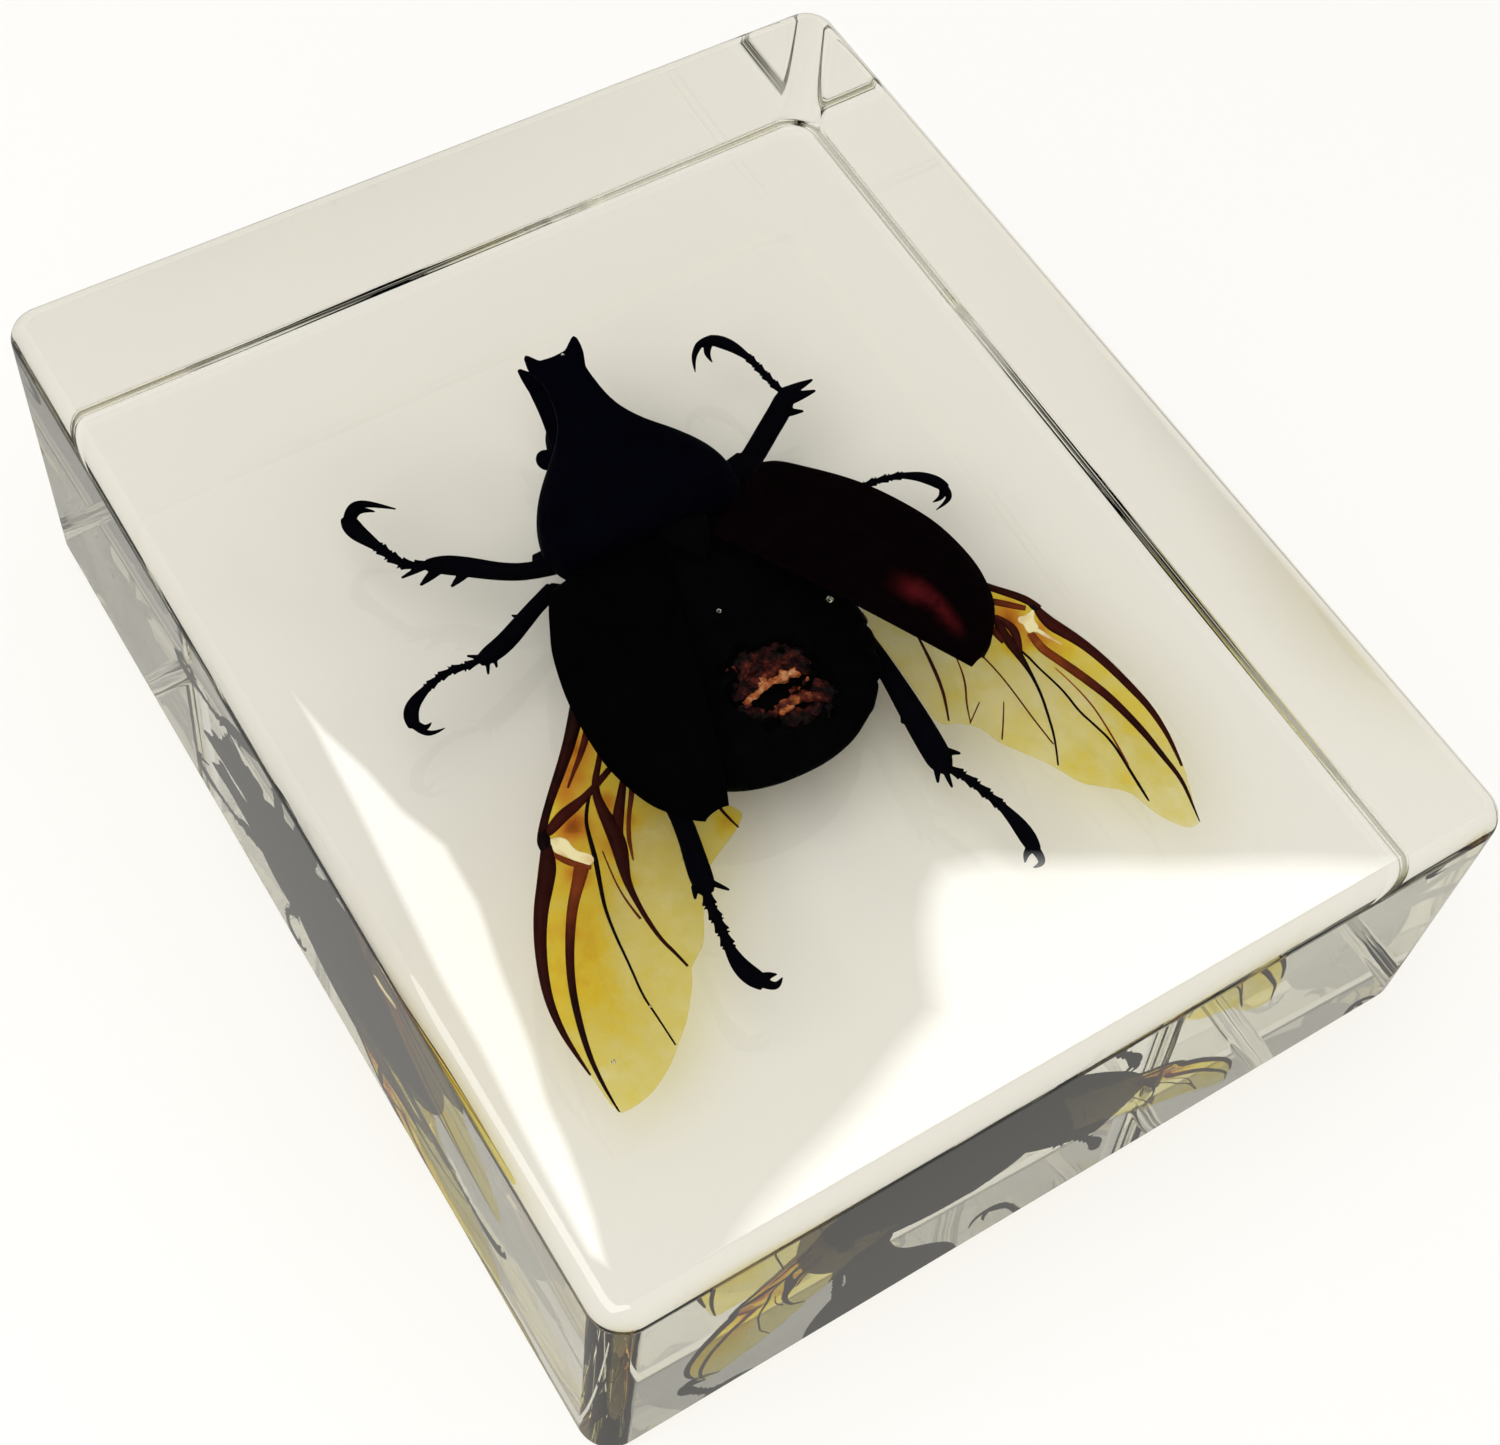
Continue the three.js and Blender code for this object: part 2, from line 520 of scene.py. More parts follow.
def strand(line, radius, height, tone_and_painted_shade):
    """A lumpy strand of muscle along this line, with its own tone for the finish and painted shade near the
    rim.
    """
    points = []
    for share in range(len(line) * 2 - 1):
        start, end = line[share // 2], line[min((share + 1) // 2, len(line) - 1)]
        across, along = (start[0] + end[0]) / 2, (start[1] + end[1]) / 2
        points.append(
            (
                across + tissue_draw.uniform(-STRAND_WANDER, STRAND_WANDER),
                along + tissue_draw.uniform(-STRAND_WANDER, STRAND_WANDER),
                height + tissue_draw.uniform(-STRAND_WANDER, STRAND_WANDER),
                radius * tissue_draw.uniform(0.65, 1.25),
            )
        )
    obj = rod(points, sides=4)
    apply_modifier(obj, "REMESH", mode="VOXEL", voxel_size=0.11)
    for vertex in obj.data.vertices:
        vertex.co += noise.noise_vector(vertex.co * 2.2) * radius * 0.5
    shade = obj.data.attributes.new("tone_and_painted_shade", "FLOAT", "POINT")
    for vertex, value in zip(obj.data.vertices, shade.data):
        # painted shade: the tissue darkens towards the rim of the tear
        painted_rim_shade = 0.14 * smoothstep(0.5, 1.05, tear_distance(vertex.co.x, vertex.co.y))
        value.value = tone_and_painted_shade - painted_rim_shade + 0.10 * noise.noise(vertex.co * 1.1)
    return obj


tissue_parts = [
    strand(BRIGHT_STRAND, 0.38, TISSUE_BED + 0.95, 0.17),
    strand(PALE_STRAND, 0.55, TISSUE_BED + 0.75, 0.06),
    # two fat lumps, one on each bright strand
    strand([(2.7, -7.6), (3.3, -7.3), (3.9, -7.2)], 0.52, TISSUE_BED + 1.0, 0.18),
    strand([(1.2, -10.8), (1.8, -10.4), (2.5, -10.3)], 0.42, TISSUE_BED + 1.0, 0.17),
]
# the low strands are given the darkest colour: painted shade in the gaps
for line in GAP_STRANDS_PAINTED_DARK:
    tissue_parts.append(strand(line, 0.75, TISSUE_BED + 0.35, -0.02))
for crumb in range(CRUMBS):
    turn = tissue_draw.uniform(0, math.tau)
    reach = tissue_draw.uniform(0.2, 0.95)
    across = TEAR_CENTRE[0] + TEAR_RADII[0] * reach * math.cos(turn)
    along = TEAR_CENTRE[1] + TEAR_RADII[1] * reach * math.sin(turn)
    size = tissue_draw.uniform(0.16, 0.42)
    tissue_parts.append(
        strand(
            [(across - size, along - size / 2), (across + size, along + size / 2)],
            size,
            TISSUE_BED + tissue_draw.uniform(0.2, 0.9),
            tissue_draw.choice((-0.08, -0.04, 0.0, 0.14)),
        )
    )
seal(joined("dried_tissue", tissue_parts), tissue_finish())


# ---- Wing cases -----------------------------------------------------------------------------------------
# The elytra are two stiff arched shells, hinged at the chest and meeting at a straight seam. The left one
# lies almost closed; the right one is lifted and swung out, and its base colour has a painted dark red glow
# where light would shine through the thin shell.
CASE_OUTLINES = {
    # per side, points of (along the seam from the hinge, reach from the seam); the lifted case lies flatter
    -1: [
        (0.0, 8.3), (0.6, 9.6), (1.8, 10.9), (5.7, 11.7), (8.7, 12.0), (13.3, 11.7), (18.0, 10.6),
        (21.3, 9.3), (24.7, 6.9), (26.6, 4.0), (27.1, 2.6),
    ],
    1: [
        (-0.6, 11.2), (0.6, 12.0), (2.8, 12.6), (7.7, 13.6), (12.1, 13.8), (16.9, 13.3), (21.3, 11.7),
        (24.0, 9.9), (25.7, 8.0), (27.0, 4.8), (27.2, 2.9),
    ],
}
CASE_SEAM = 27.05
CASE_WALL = 0.34
ARCH = math.radians(85)
CASE_BULGE = 0.5
CASE_TIP_DROP = 1.9
CASE_HINGE_DROP = 0.9
GROOVE_AT = 0.055
GROOVE_REACH = 0.014
GROOVE_DEPTH = 0.16
RIB_HEIGHT = 0.05
RIB_RATE = 40
BEAD_HEIGHT = 0.14


def smooth_line(points, steps=8):
    """Close points on a smooth curve through the given ones."""
    knots = [Vector(point) for point in points]
    knots = [2 * knots[0] - knots[1], *knots, 2 * knots[-1] - knots[-2]]
    line = []
    for before, start, end, after in zip(knots, knots[1:], knots[2:], knots[3:]):
        for step in range(steps):
            t = step / steps
            line.append(
                0.5
                * (
                    2 * start
                    + (end - before) * t
                    + (2 * before - 5 * start + 4 * end - after) * t**2
                    + (3 * start - before - 3 * end + after) * t**3
                )
            )
    return [*line, knots[-2]]


def at_share(line, share):
    """The point at this share of a line's length."""
    lengths = list(accumulate(((b - a).length for a, b in zip(line, line[1:])), initial=0))
    wanted = share * lengths[-1]
    for index in range(len(line) - 1):
        if wanted <= lengths[index + 1]:
            span = lengths[index + 1] - lengths[index]
            return line[index].lerp(line[index + 1], (wanted - lengths[index]) / span if span else 0)
    return line[-1]


def sheet(name, across_steps, along_steps, place, wall):
    """A thin sheet: a grid whose points go where place(u, v) says, with a wall of that thickness."""
    bpy.ops.object.select_all(action="DESELECT")
    bpy.ops.mesh.primitive_grid_add(
        x_subdivisions=across_steps, y_subdivisions=along_steps, size=1, location=(0.5, 0.5, 0)
    )
    obj = bpy.context.object
    obj.name = name
    obj.data.name = name
    bpy.ops.object.transform_apply()
    for vertex in obj.data.vertices:
        vertex.co = place(vertex.co.x, vertex.co.y)
    apply_modifier(obj, "SOLIDIFY", thickness=wall, offset=0)
    bpy.ops.object.mode_set(mode="EDIT")
    bpy.ops.mesh.select_all(action="SELECT")
    bpy.ops.mesh.normals_make_consistent(inside=False)
    bpy.ops.object.mode_set(mode="OBJECT")
    return obj


def wing_case(name, side, hinge, swing, seam_height, edge_drop, finish):
    """side is -1 on the left. swing turns the case outwards about its hinge."""
    seam_way = Vector((side * math.sin(swing), -math.cos(swing)))
    outward = Vector((side * math.cos(swing), math.sin(swing)))
    outline = smooth_line(CASE_OUTLINES[side])

    def place(u, v):
        outer = at_share(outline, v)
        inner = Vector((CASE_SEAM * v, 0.6 * v**5))
        turn = ARCH * u
        flat = inner.lerp(outer, math.sin(turn) / math.sin(ARCH))
        drop = edge_drop * (1 - 0.3 * v**3) * (1 - math.cos(turn)) / (1 - math.cos(ARCH))
        height = seam_height + CASE_BULGE * math.sin(math.pi * v) - drop
        height -= CASE_TIP_DROP * v**4 + CASE_HINGE_DROP * (1 - v) ** 6
        # a fine groove beside the seam, low ribs, and a bead along the outer edge
        height -= GROOVE_DEPTH * math.exp(-(((u - GROOVE_AT) / GROOVE_REACH) ** 2))
        height += RIB_HEIGHT * math.cos(u * RIB_RATE) * math.sin(math.pi * v)
        height += BEAD_HEIGHT * smoothstep(0.965, 1, u)
        spot = Vector(hinge) + seam_way * flat.x + outward * flat.y
        return (spot.x, spot.y, height)

    seal(sheet(name, 56, 84, place, CASE_WALL), finish)


CASE_SURFACE = (6000, 0.42, 0.56)
CASE_CHITIN = chitin("case_chitin", (0.0002, 0.0003, 0.0004), (0.0008, 0.0009, 0.0014), *CASE_SURFACE)


def case_chitin_with_painted_glow():
    """The lifted case: the same chitin, with a painted dark red backlight glow in streaks along its outer
    half.
    """
    dark, light = (0.0005, 0.0002, 0.0004), (0.0026, 0.0006, 0.0010)
    material = chitin("case_chitin_painted_glow", dark, light, *CASE_SURFACE)
    tree = material.node_tree
    surface = tree.nodes["Principled BSDF"]
    under = surface.inputs["Base Color"].links[0].from_node
    place = node(tree, "ShaderNodeTexCoord")
    split = node(tree, "ShaderNodeSeparateXYZ")
    painted_glow_streaks = node(tree, "ShaderNodeTexNoise", {"Scale": 260, "Detail": 4})
    painted_glow_bands = node(tree, "ShaderNodeMapRange", {"From Min": 0.35, "From Max": 0.62})
    # painted backlight: a dark red mixed into the base colour where light would shine through the case
    red = node(tree, "ShaderNodeMix", {"B": (0.10, 0.008, 0.011, 1)}, data_type="RGBA")
    wire(
        tree,
        (place, "UV", split, "Vector"),
        (place, "Object", painted_glow_streaks, "Vector"),
        (painted_glow_streaks, "Fac", painted_glow_bands, "Value"),
        (under, "Result", red, "A"),
        (red, "Result", surface, "Base Color"),
    )
    # the painted glow keeps to the middle of this stretch across and along the case
    glow = painted_glow_bands
    for axis, centre, spread in (("X", 0.26, 0.12), ("Y", 0.73, 0.19)):
        away = node(tree, "ShaderNodeMath", {1: centre}, operation="SUBTRACT")
        size = node(tree, "ShaderNodeMath", operation="ABSOLUTE")
        fall = {"From Max": spread, "To Min": 1, "To Max": 0}
        fade = node(tree, "ShaderNodeMapRange", fall, interpolation_type="SMOOTHSTEP")
        both = node(tree, "ShaderNodeMath", operation="MULTIPLY")
        wire(
            tree,
            (split, axis, away, 0),
            (away, "Value", size, 0),
            (size, "Value", fade, "Value"),
            (fade, "Result", both, 0),
            (glow, 0, both, 1),
        )
        glow = both
    wire(tree, (glow, 0, red, "Factor"))
    return material


wing_case("wing_case_left", -1, (-0.4, 9.0), math.radians(14), 18.2, 4.5, CASE_CHITIN)
# the lifted right case takes the painted red backlight glow
wing_case("wing_case_right", 1, (4.13, 8.2), math.radians(32), 18.6, 3.8, case_chitin_with_painted_glow())


# ---- Hind wings -----------------------------------------------------------------------------------------
# Two flight wings of clear amber film a few hundredths of a millimetre thick, spread out from under the
# wing cases. Each rides over the back at its root, then sinks to its tip and to its trailing edge.
WING_HEIGHT = 13.9
WING_SLOPE = 0.115
WING_FILM = 0.05
WING_HANG = {
    # per side: where the hang starts, its direction across the wing, how steep it is
    -1: ((-10, 4), (0.860, -0.511), 0.17),
    1: ((10, 6), (-0.787, -0.617), 0.10),
}
WING_GOLD = {
    # per side: where the gold behind the leading edge starts to fade and ends, the film's depth, the gold's
    -1: (4.4, 7.5, 0.095, 0.18),
    1: (2.5, 4.8, 0.050, 0.15),
}
BACK_GAP = 0.4
BACK_BLEND = 0.5
LEFT_LEADING = [
    (-7.5, 8.0), (-11.5, 3.0), (-14.9, -2.0), (-18.6, -6.5), (-22.3, -11.0), (-23.4, -12.5), (-25.1, -15.1),
    (-26.5, -17.9), (-28.0, -21.8), (-29.0, -25.8), (-29.1, -29.1), (-28.7, -32.6), (-28.4, -34.7),
    (-28.2, -35.8), (-27.8, -36.5),
]
LEFT_TRAILING = [
    (-5.0, 6.0), (-6.5, -2.0), (-8.2, -9.0), (-8.4, -13.0), (-5.7, -16.1), (-6.4, -17.4), (-8.9, -18.9),
    (-10.6, -19.9), (-12.2, -21.8), (-13.3, -23.8), (-14.5, -26.0), (-16.4, -27.5), (-17.0, -28.7),
    (-18.8, -31.3), (-20.8, -33.3), (-22.4, -34.7), (-24.6, -36.0), (-26.4, -36.5), (-27.8, -36.55),
]
RIGHT_LEADING = [
    (9.8, 8.0), (15.5, 3.5), (21.5, -1.8), (25.8, -6.4), (27.3, -8.2), (28.8, -10.5), (30.0, -13.2),
    (31.0, -15.9), (32.1, -18.4), (32.8, -21.3), (33.4, -24.6), (33.1, -28.2), (32.4, -31.6), (31.0, -35.5),
]
RIGHT_TRAILING = [
    (9.5, 7.0), (14.5, 2.0), (14.6, -2.0), (13.9, -3.7), (13.6, -6.6), (14.0, -9.4), (14.3, -12.9),
    (14.6, -16.5), (16.4, -17.6), (17.9, -18.9), (18.8, -20.8), (20.6, -23.1), (22.2, -25.4), (23.4, -27.3),
    (25.2, -28.8), (26.9, -30.3), (27.8, -32.4), (28.8, -34.2), (30.1, -35.6), (31.0, -35.6),
]
WING_STAINS = [
    # across, along, radius, depth: amber-brown stains in the film beside the strong veins and the fold
    (-16.4, -4.9, 1.5, 0.30), (-17.9, -7.2, 1.5, 0.30), (-19.4, -8.6, 1.1, 0.20),
    (-19.6, -11.6, 1.3, 0.34), (-20.6, -12.2, 1.0, 0.26), (-21.7, -16.0, 1.1, 0.30),
    (-22.6, -13.6, 0.8, 0.20), (-16.2, -11.0, 1.0, 0.30), (-17.4, -15.2, 1.3, 0.30),
    (-18.0, -18.2, 0.9, 0.22), (-15.2, -13.2, 1.1, 0.28), (-13.4, -12.6, 1.6, 0.12),
    (-7.2, -16.6, 1.4, 0.22), (-10.6, -18.2, 1.8, 0.10), (-24.6, -20.4, 1.0, 0.10),
    (26.4, -9.5, 1.4, 0.34), (25.4, -11.2, 1.3, 0.40), (24.8, -13.4, 1.1, 0.34), (27.2, -13.4, 1.2, 0.32),
    (23.4, -9.2, 1.4, 0.30), (28.4, -12.2, 0.8, 0.20), (22.6, -12.6, 1.5, 0.14), (29.0, -15.0, 1.4, 0.12),
    (24.2, -26.2, 2.0, 0.13), (27.4, -28.6, 1.5, 0.14), (20.6, -21.8, 1.6, 0.10), (17.2, -14.5, 1.4, 0.08),
    (28.2, -24.6, 1.0, 0.10),
]


def back_height(across, along):
    """The top of the chest or the abdomen at this place, or 0 beside and behind them."""
    if along > ABDOMEN_RINGS[0][0]:
        middle, height, half_width, half_depth = between(CHEST_RINGS, along)
    else:
        _, middle, height, half_width, half_depth = abdomen_ring(along, 0)
    rise = 1 - (abs(across - middle) / half_width) ** ABDOMEN_FULLNESS
    if rise <= 0 or along < ABDOMEN_RINGS[-1][0]:
        return 0
    return height + half_depth * rise ** (1 / ABDOMEN_FULLNESS)


def wing_height(across, along):
    """The height of the film at this place, which bends smoothly where it lies over the back."""
    start, way, hang = WING_HANG[-1 if across < 0 else 1]
    past = (across - start[0]) * way[0] + (along - start[1]) * way[1]
    ripple = 0.10 * math.sin(across * 1.9 + along * 0.35)
    ripple += 0.2 * noise.noise((across * 0.25, along * 0.25, 0.5))
    free = WING_HEIGHT + WING_SLOPE * along - hang * max(past, 0) + ripple
    back = back_height(across, along) + BACK_GAP
    share = min(max(0.5 + (back - free) / (2 * BACK_BLEND), 0), 1)
    return free + (back - free) * share + BACK_BLEND * share * (1 - share)


def film_finish():
    """Clear amber film: it tints what lies behind it, from pale straw to red-brown with its stain."""
    material, tree, surface = finish_with("wing_film", {"IOR": 1.12, "Roughness": 0.35})
    place = node(tree, "ShaderNodeTexCoord")
    stain = node(tree, "ShaderNodeAttribute", attribute_name="stain")
    mottle = node(tree, "ShaderNodeTexNoise", {"Scale": 520, "Detail": 6, "Roughness": 0.6})
    depth = node(tree, "ShaderNodeMath", {1: 0.30}, operation="MULTIPLY_ADD")
    tint = ramp(
        tree,
        (0.12, (0.98, 0.97, 0.86)),
        (0.28, (0.96, 0.92, 0.56)),
        (0.42, (0.98, 0.87, 0.22)),
        (0.70, (0.90, 0.55, 0.12)),
        (1.00, (0.40, 0.10, 0.03)),
    )
    straw, brown = (0.74, 0.68, 0.36, 1), (0.34, 0.10, 0.01, 1)
    body = node(tree, "ShaderNodeMix", {"A": straw, "B": brown}, data_type="RGBA")
    clear = node(tree, "ShaderNodeBsdfTransparent")
    mix = node(tree, "ShaderNodeMixShader", {"Fac": 0.09})
    wire(
        tree,
        (place, "Object", mottle, "Vector"),
        (mottle, "Fac", depth, 0),
        (stain, "Fac", depth, 2),
        (depth, "Value", tint, "Fac"),
        (depth, "Value", body, "Factor"),
        (tint, "Color", clear, "Color"),
        (body, "Result", surface, "Base Color"),
        (clear, "BSDF", mix, 1),
        (surface, "BSDF", mix, 2),
        (mix, "Shader", tree.nodes["Material Output"], "Surface"),
    )
    return material


WING_FILM_FINISH = film_finish()


def hind_wing(name, side, leading, trailing):
    """The film between the two edges, stained gold behind the leading one and brown in its patches."""
    front, back = smooth_line(leading), smooth_line(trailing)

    def place(u, v):
        across, along = at_share(front, v).lerp(at_share(back, v), u)
        return (across, along, wing_height(across, along))

    wing = sheet(name, 48, 120, place, WING_FILM)
    stain = wing.data.attributes.new("stain", "FLOAT", "POINT")
    gold_from, gold_to, film_depth, gold_depth = WING_GOLD[side]
    for vertex, value in zip(wing.data.vertices, stain.data):
        spot = vertex.co.xy
        to_edge = min((spot - point).length for point in front[::3])
        gold = (1 - smoothstep(gold_from, gold_to, to_edge)) * smoothstep(-35, -24, spot.y)
        value.value = film_depth + gold_depth * gold
        for across, along, radius, deep in WING_STAINS:
            away = (spot - Vector((across, along))).length / radius
            value.value += deep * math.exp(-away * away)
    seal(wing, WING_FILM_FINISH)


hind_wing("hind_wing_left", -1, LEFT_LEADING, LEFT_TRAILING)
hind_wing("hind_wing_right", 1, RIGHT_LEADING, RIGHT_TRAILING)


# ---- Wing veins -----------------------------------------------------------------------------------------
# Hollow flattened tubes stiffen the film: strong ones side by side behind the leading edge, thin ones that
# fan out behind, and a knuckle halfway, where the wing folds, with a pale patch of soft skin.
def vein_finish():
    finish = {"IOR": 1.12, "Specular IOR Level": 0.25, "Roughness": 0.4}
    material, tree, surface = finish_with("vein_chitin", finish)
    place = node(tree, "ShaderNodeTexCoord")
    patches = node(tree, "ShaderNodeTexNoise", {"Scale": 700, "Detail": 4})
    tone = node(tree, "ShaderNodeAttribute", attribute_name="tone")
    both = node(tree, "ShaderNodeMath", {1: 0.22}, operation="MULTIPLY_ADD")
    colour = ramp(
        tree,
        (0.10, (0.004, 0.0015, 0.0015)),
        (0.36, (0.042, 0.006, 0.004)),
        (0.60, (0.17, 0.034, 0.008)),
        (0.82, (0.5, 0.2, 0.03)),
        (1.00, (0.80, 0.72, 0.42)),
    )
    wire(
        tree,
        (place, "Object", patches, "Vector"),
        (patches, "Fac", both, 0),
        (tone, "Fac", both, 2),
        (both, "Value", colour, "Fac"),
        (colour, "Color", surface, "Base Color"),
    )
    return material


VEIN_FINISH = vein_finish()
VEIN_FLATNESS = 0.55
VEIN_LIFT = 0.04
PAD_WALL = 0.14
PAD_LIFT = 0.02
LEFT_VEINS = [
    # tone at its root and at its end, then points of (across, along, radius)
    (0.02, 0.05, [(-9.0, 6.0, 0.6), (-12.0, 2.0, 0.7), (-15.0, -2.4, 0.69), (-17.3, -5.2, 0.55),
                  (-19.3, -7.3, 0.46), (-20.8, -8.9, 0.38), (-22.2, -10.5, 0.36), (-22.9, -11.6, 0.42)]),
    (0.20, 0.30, [(-13.6, -2.6, 0.4), (-15.4, -5.0, 0.33), (-17.0, -6.6, 0.22), (-18.8, -8.4, 0.11)]),
    (0.12, 0.22, [(-14.6, -8.2, 0.3), (-17.4, -9.7, 0.3), (-19.0, -10.2, 0.53), (-20.6, -10.7, 0.59),
                  (-22.0, -11.4, 0.46), (-22.8, -11.6, 0.33)]),
    (0.10, 0.12, [(-22.9, -12.5, 0.48), (-23.5, -14.1, 0.80), (-24.5, -15.6, 0.76), (-26.0, -17.7, 0.64),
                  (-27.4, -20.4, 0.54), (-28.4, -23.1, 0.46), (-29.0, -25.5, 0.38), (-29.2, -28.2, 0.29),
                  (-29.0, -30.5, 0.20), (-28.7, -32.6, 0.10)]),
    (0.46, 0.06, [(-21.1, -15.7, 0.66), (-22.2, -17.1, 0.54), (-23.5, -18.7, 0.46), (-24.8, -20.9, 0.42),
                  (-25.9, -23.1, 0.37), (-26.8, -25.4, 0.34), (-27.5, -28.0, 0.30), (-28.0, -30.9, 0.24),
                  (-28.1, -33.2, 0.18), (-28.0, -35.5, 0.11), (-27.9, -36.4, 0.07)]),
    (0.50, 0.46, [(-20.3, -16.0, 0.2), (-21.2, -15.3, 0.34), (-22.2, -14.4, 0.3), (-22.7, -13.6, 0.2)]),
    (-0.05, -0.05, [(-17.2, -9.6, 0.14), (-17.8, -10.3, 0.16), (-18.8, -11.9, 0.17), (-19.2, -13.6, 0.2),
                    (-19.6, -15.4, 0.24), (-20.2, -17.4, 0.20), (-20.9, -19.8, 0.16), (-21.2, -22.4, 0.13),
                    (-21.3, -25.3, 0.11), (-21.5, -28.2, 0.11), (-21.2, -30.2, 0.09), (-20.9, -33.1, 0.08)]),
    (0.15, 0.10, [(-14.0, -5.6, 0.3), (-15.0, -7.0, 0.24), (-16.7, -9.3, 0.35), (-17.0, -11.6, 0.5),
                  (-16.9, -13.0, 0.72), (-17.1, -15.1, 0.76), (-17.6, -16.8, 0.58), (-18.0, -18.3, 0.38),
                  (-18.1, -20.2, 0.27), (-18.0, -22.4, 0.22), (-17.7, -24.5, 0.18), (-17.1, -26.0, 0.16),
                  (-16.7, -27.3, 0.12)]),
    (0.12, 0.15, [(-13.2, -8.6, 0.26), (-14.1, -9.9, 0.32), (-15.0, -11.2, 0.42), (-15.9, -12.5, 0.52),
                  (-16.7, -13.9, 0.5), (-17.1, -15.4, 0.3)]),
    (0.28, 0.36, [(-13.2, -10.0, 0.26), (-13.9, -11.2, 0.26), (-15.0, -12.8, 0.18), (-16.0, -14.7, 0.22),
                  (-16.3, -15.8, 0.15), (-16.6, -16.8, 0.07)]),
    (0.34, 0.34, [(-18.7, -15.0, 0.07), (-19.0, -17.6, 0.08), (-18.9, -20.1, 0.09), (-18.5, -21.9, 0.13)]),
    (0.15, 0.12, [(-7.3, -14.6, 0.18), (-7.1, -15.7, 0.15), (-6.8, -16.8, 0.13), (-6.5, -17.6, 0.08)]),
    (-0.08, -0.08, [(-22.4, -10.9, 0.35), (-22.8, -11.7, 0.6), (-23.1, -12.5, 0.6), (-23.1, -13.3, 0.45)]),
]
RIGHT_VEINS = [
    (0.02, 0.12, [(14.5, 4.0, 0.6), (20.0, -0.9, 0.5), (24.0, -4.7, 0.42), (26.0, -6.8, 0.40),
                  (27.5, -8.2, 0.42), (28.6, -9.6, 0.42), (29.0, -10.7, 0.40)]),
    (0.30, 0.40, [(23.6, -6.8, 0.36), (25.3, -8.1, 0.38), (26.8, -9.2, 0.38), (27.9, -10.1, 0.28)]),
    (0.20, 0.14, [(28.8, -10.8, 0.42), (29.0, -12.3, 0.72), (29.9, -13.8, 0.66), (30.8, -15.5, 0.55),
                  (31.5, -17.4, 0.50), (32.1, -19.4, 0.46), (32.6, -21.5, 0.42), (33.0, -23.6, 0.36),
                  (33.1, -25.7, 0.29), (33.0, -27.9, 0.22), (32.6, -30.2, 0.12)]),
    (0.52, 0.08, [(26.9, -12.6, 0.40), (26.9, -14.2, 0.48), (27.6, -15.6, 0.48), (28.5, -17.4, 0.50),
                  (29.4, -19.4, 0.47), (30.2, -21.4, 0.42), (30.8, -23.8, 0.38), (31.3, -26.3, 0.33),
                  (31.6, -28.6, 0.26), (31.9, -31.0, 0.21), (31.7, -33.0, 0.15), (31.2, -35.5, 0.06)]),
    (-0.02, 0.00, [(24.9, -13.2, 0.14), (25.4, -14.3, 0.13), (25.7, -15.8, 0.11), (26.2, -17.4, 0.11),
                   (26.7, -19.2, 0.12), (26.9, -21.3, 0.12), (27.5, -23.2, 0.12), (28.0, -25.0, 0.13),
                   (28.1, -26.9, 0.14), (28.1, -28.6, 0.14), (28.1, -30.7, 0.15), (28.1, -31.7, 0.09)]),
    (0.26, -0.05, [(23.4, -7.8, 0.3), (24.8, -9.4, 0.34), (24.6, -11.5, 0.5), (24.7, -13.1, 0.5),
                   (24.8, -14.6, 0.35), (24.8, -16.4, 0.17), (24.6, -18.4, 0.14), (24.1, -20.5, 0.13),
                   (23.5, -22.8, 0.11), (22.4, -25.1, 0.09)]),
    (0.32, 0.30, [(21.2, -10.8, 0.09), (21.7, -12.7, 0.09), (22.2, -15.1, 0.08), (22.5, -17.6, 0.08),
                  (22.8, -20.6, 0.08), (23.1, -23.1, 0.08)]),
    (0.34, 0.34, [(21.1, -17.5, 0.06), (19.9, -19.5, 0.08), (19.1, -20.6, 0.08)]),
    (0.34, 0.34, [(19.4, -11.2, 0.06), (19.3, -12.4, 0.07), (18.9, -14.3, 0.11), (18.0, -16.0, 0.09),
                  (17.6, -17.0, 0.08), (17.3, -17.9, 0.06)]),
    (0.36, 0.36, [(19.1, -16.5, 0.06), (18.1, -17.3, 0.06), (17.2, -18.0, 0.08)]),
    (0.16, 0.16, [(17.3, -7.6, 0.12), (17.2, -9.3, 0.13), (17.0, -11.5, 0.19), (16.7, -13.5, 0.17),
                  (16.3, -15.1, 0.14), (15.6, -16.9, 0.09)]),
    (0.58, 0.44, [(27.1, -16.7, 0.08), (28.3, -20.2, 0.09), (28.4, -24.7, 0.09), (28.2, -27.9, 0.11)]),
    (0.95, 0.80, [(27.5, -12.3, 0.25), (28.0, -13.1, 0.25), (28.4, -13.9, 0.14), (29.0, -14.8, 0.06)]),
    (-0.05, -0.05, [(28.5, -9.6, 0.3), (28.8, -10.5, 0.48), (28.9, -11.4, 0.4)]),
    (0.30, 0.18, [(24.8, -9.6, 0.25), (25.6, -10.9, 0.42), (25.6, -12.3, 0.46), (25.1, -13.7, 0.25)]),
    (0.34, 0.26, [(23.9, -9.4, 0.3), (23.8, -10.8, 0.42), (24.2, -12.3, 0.3)]),
]
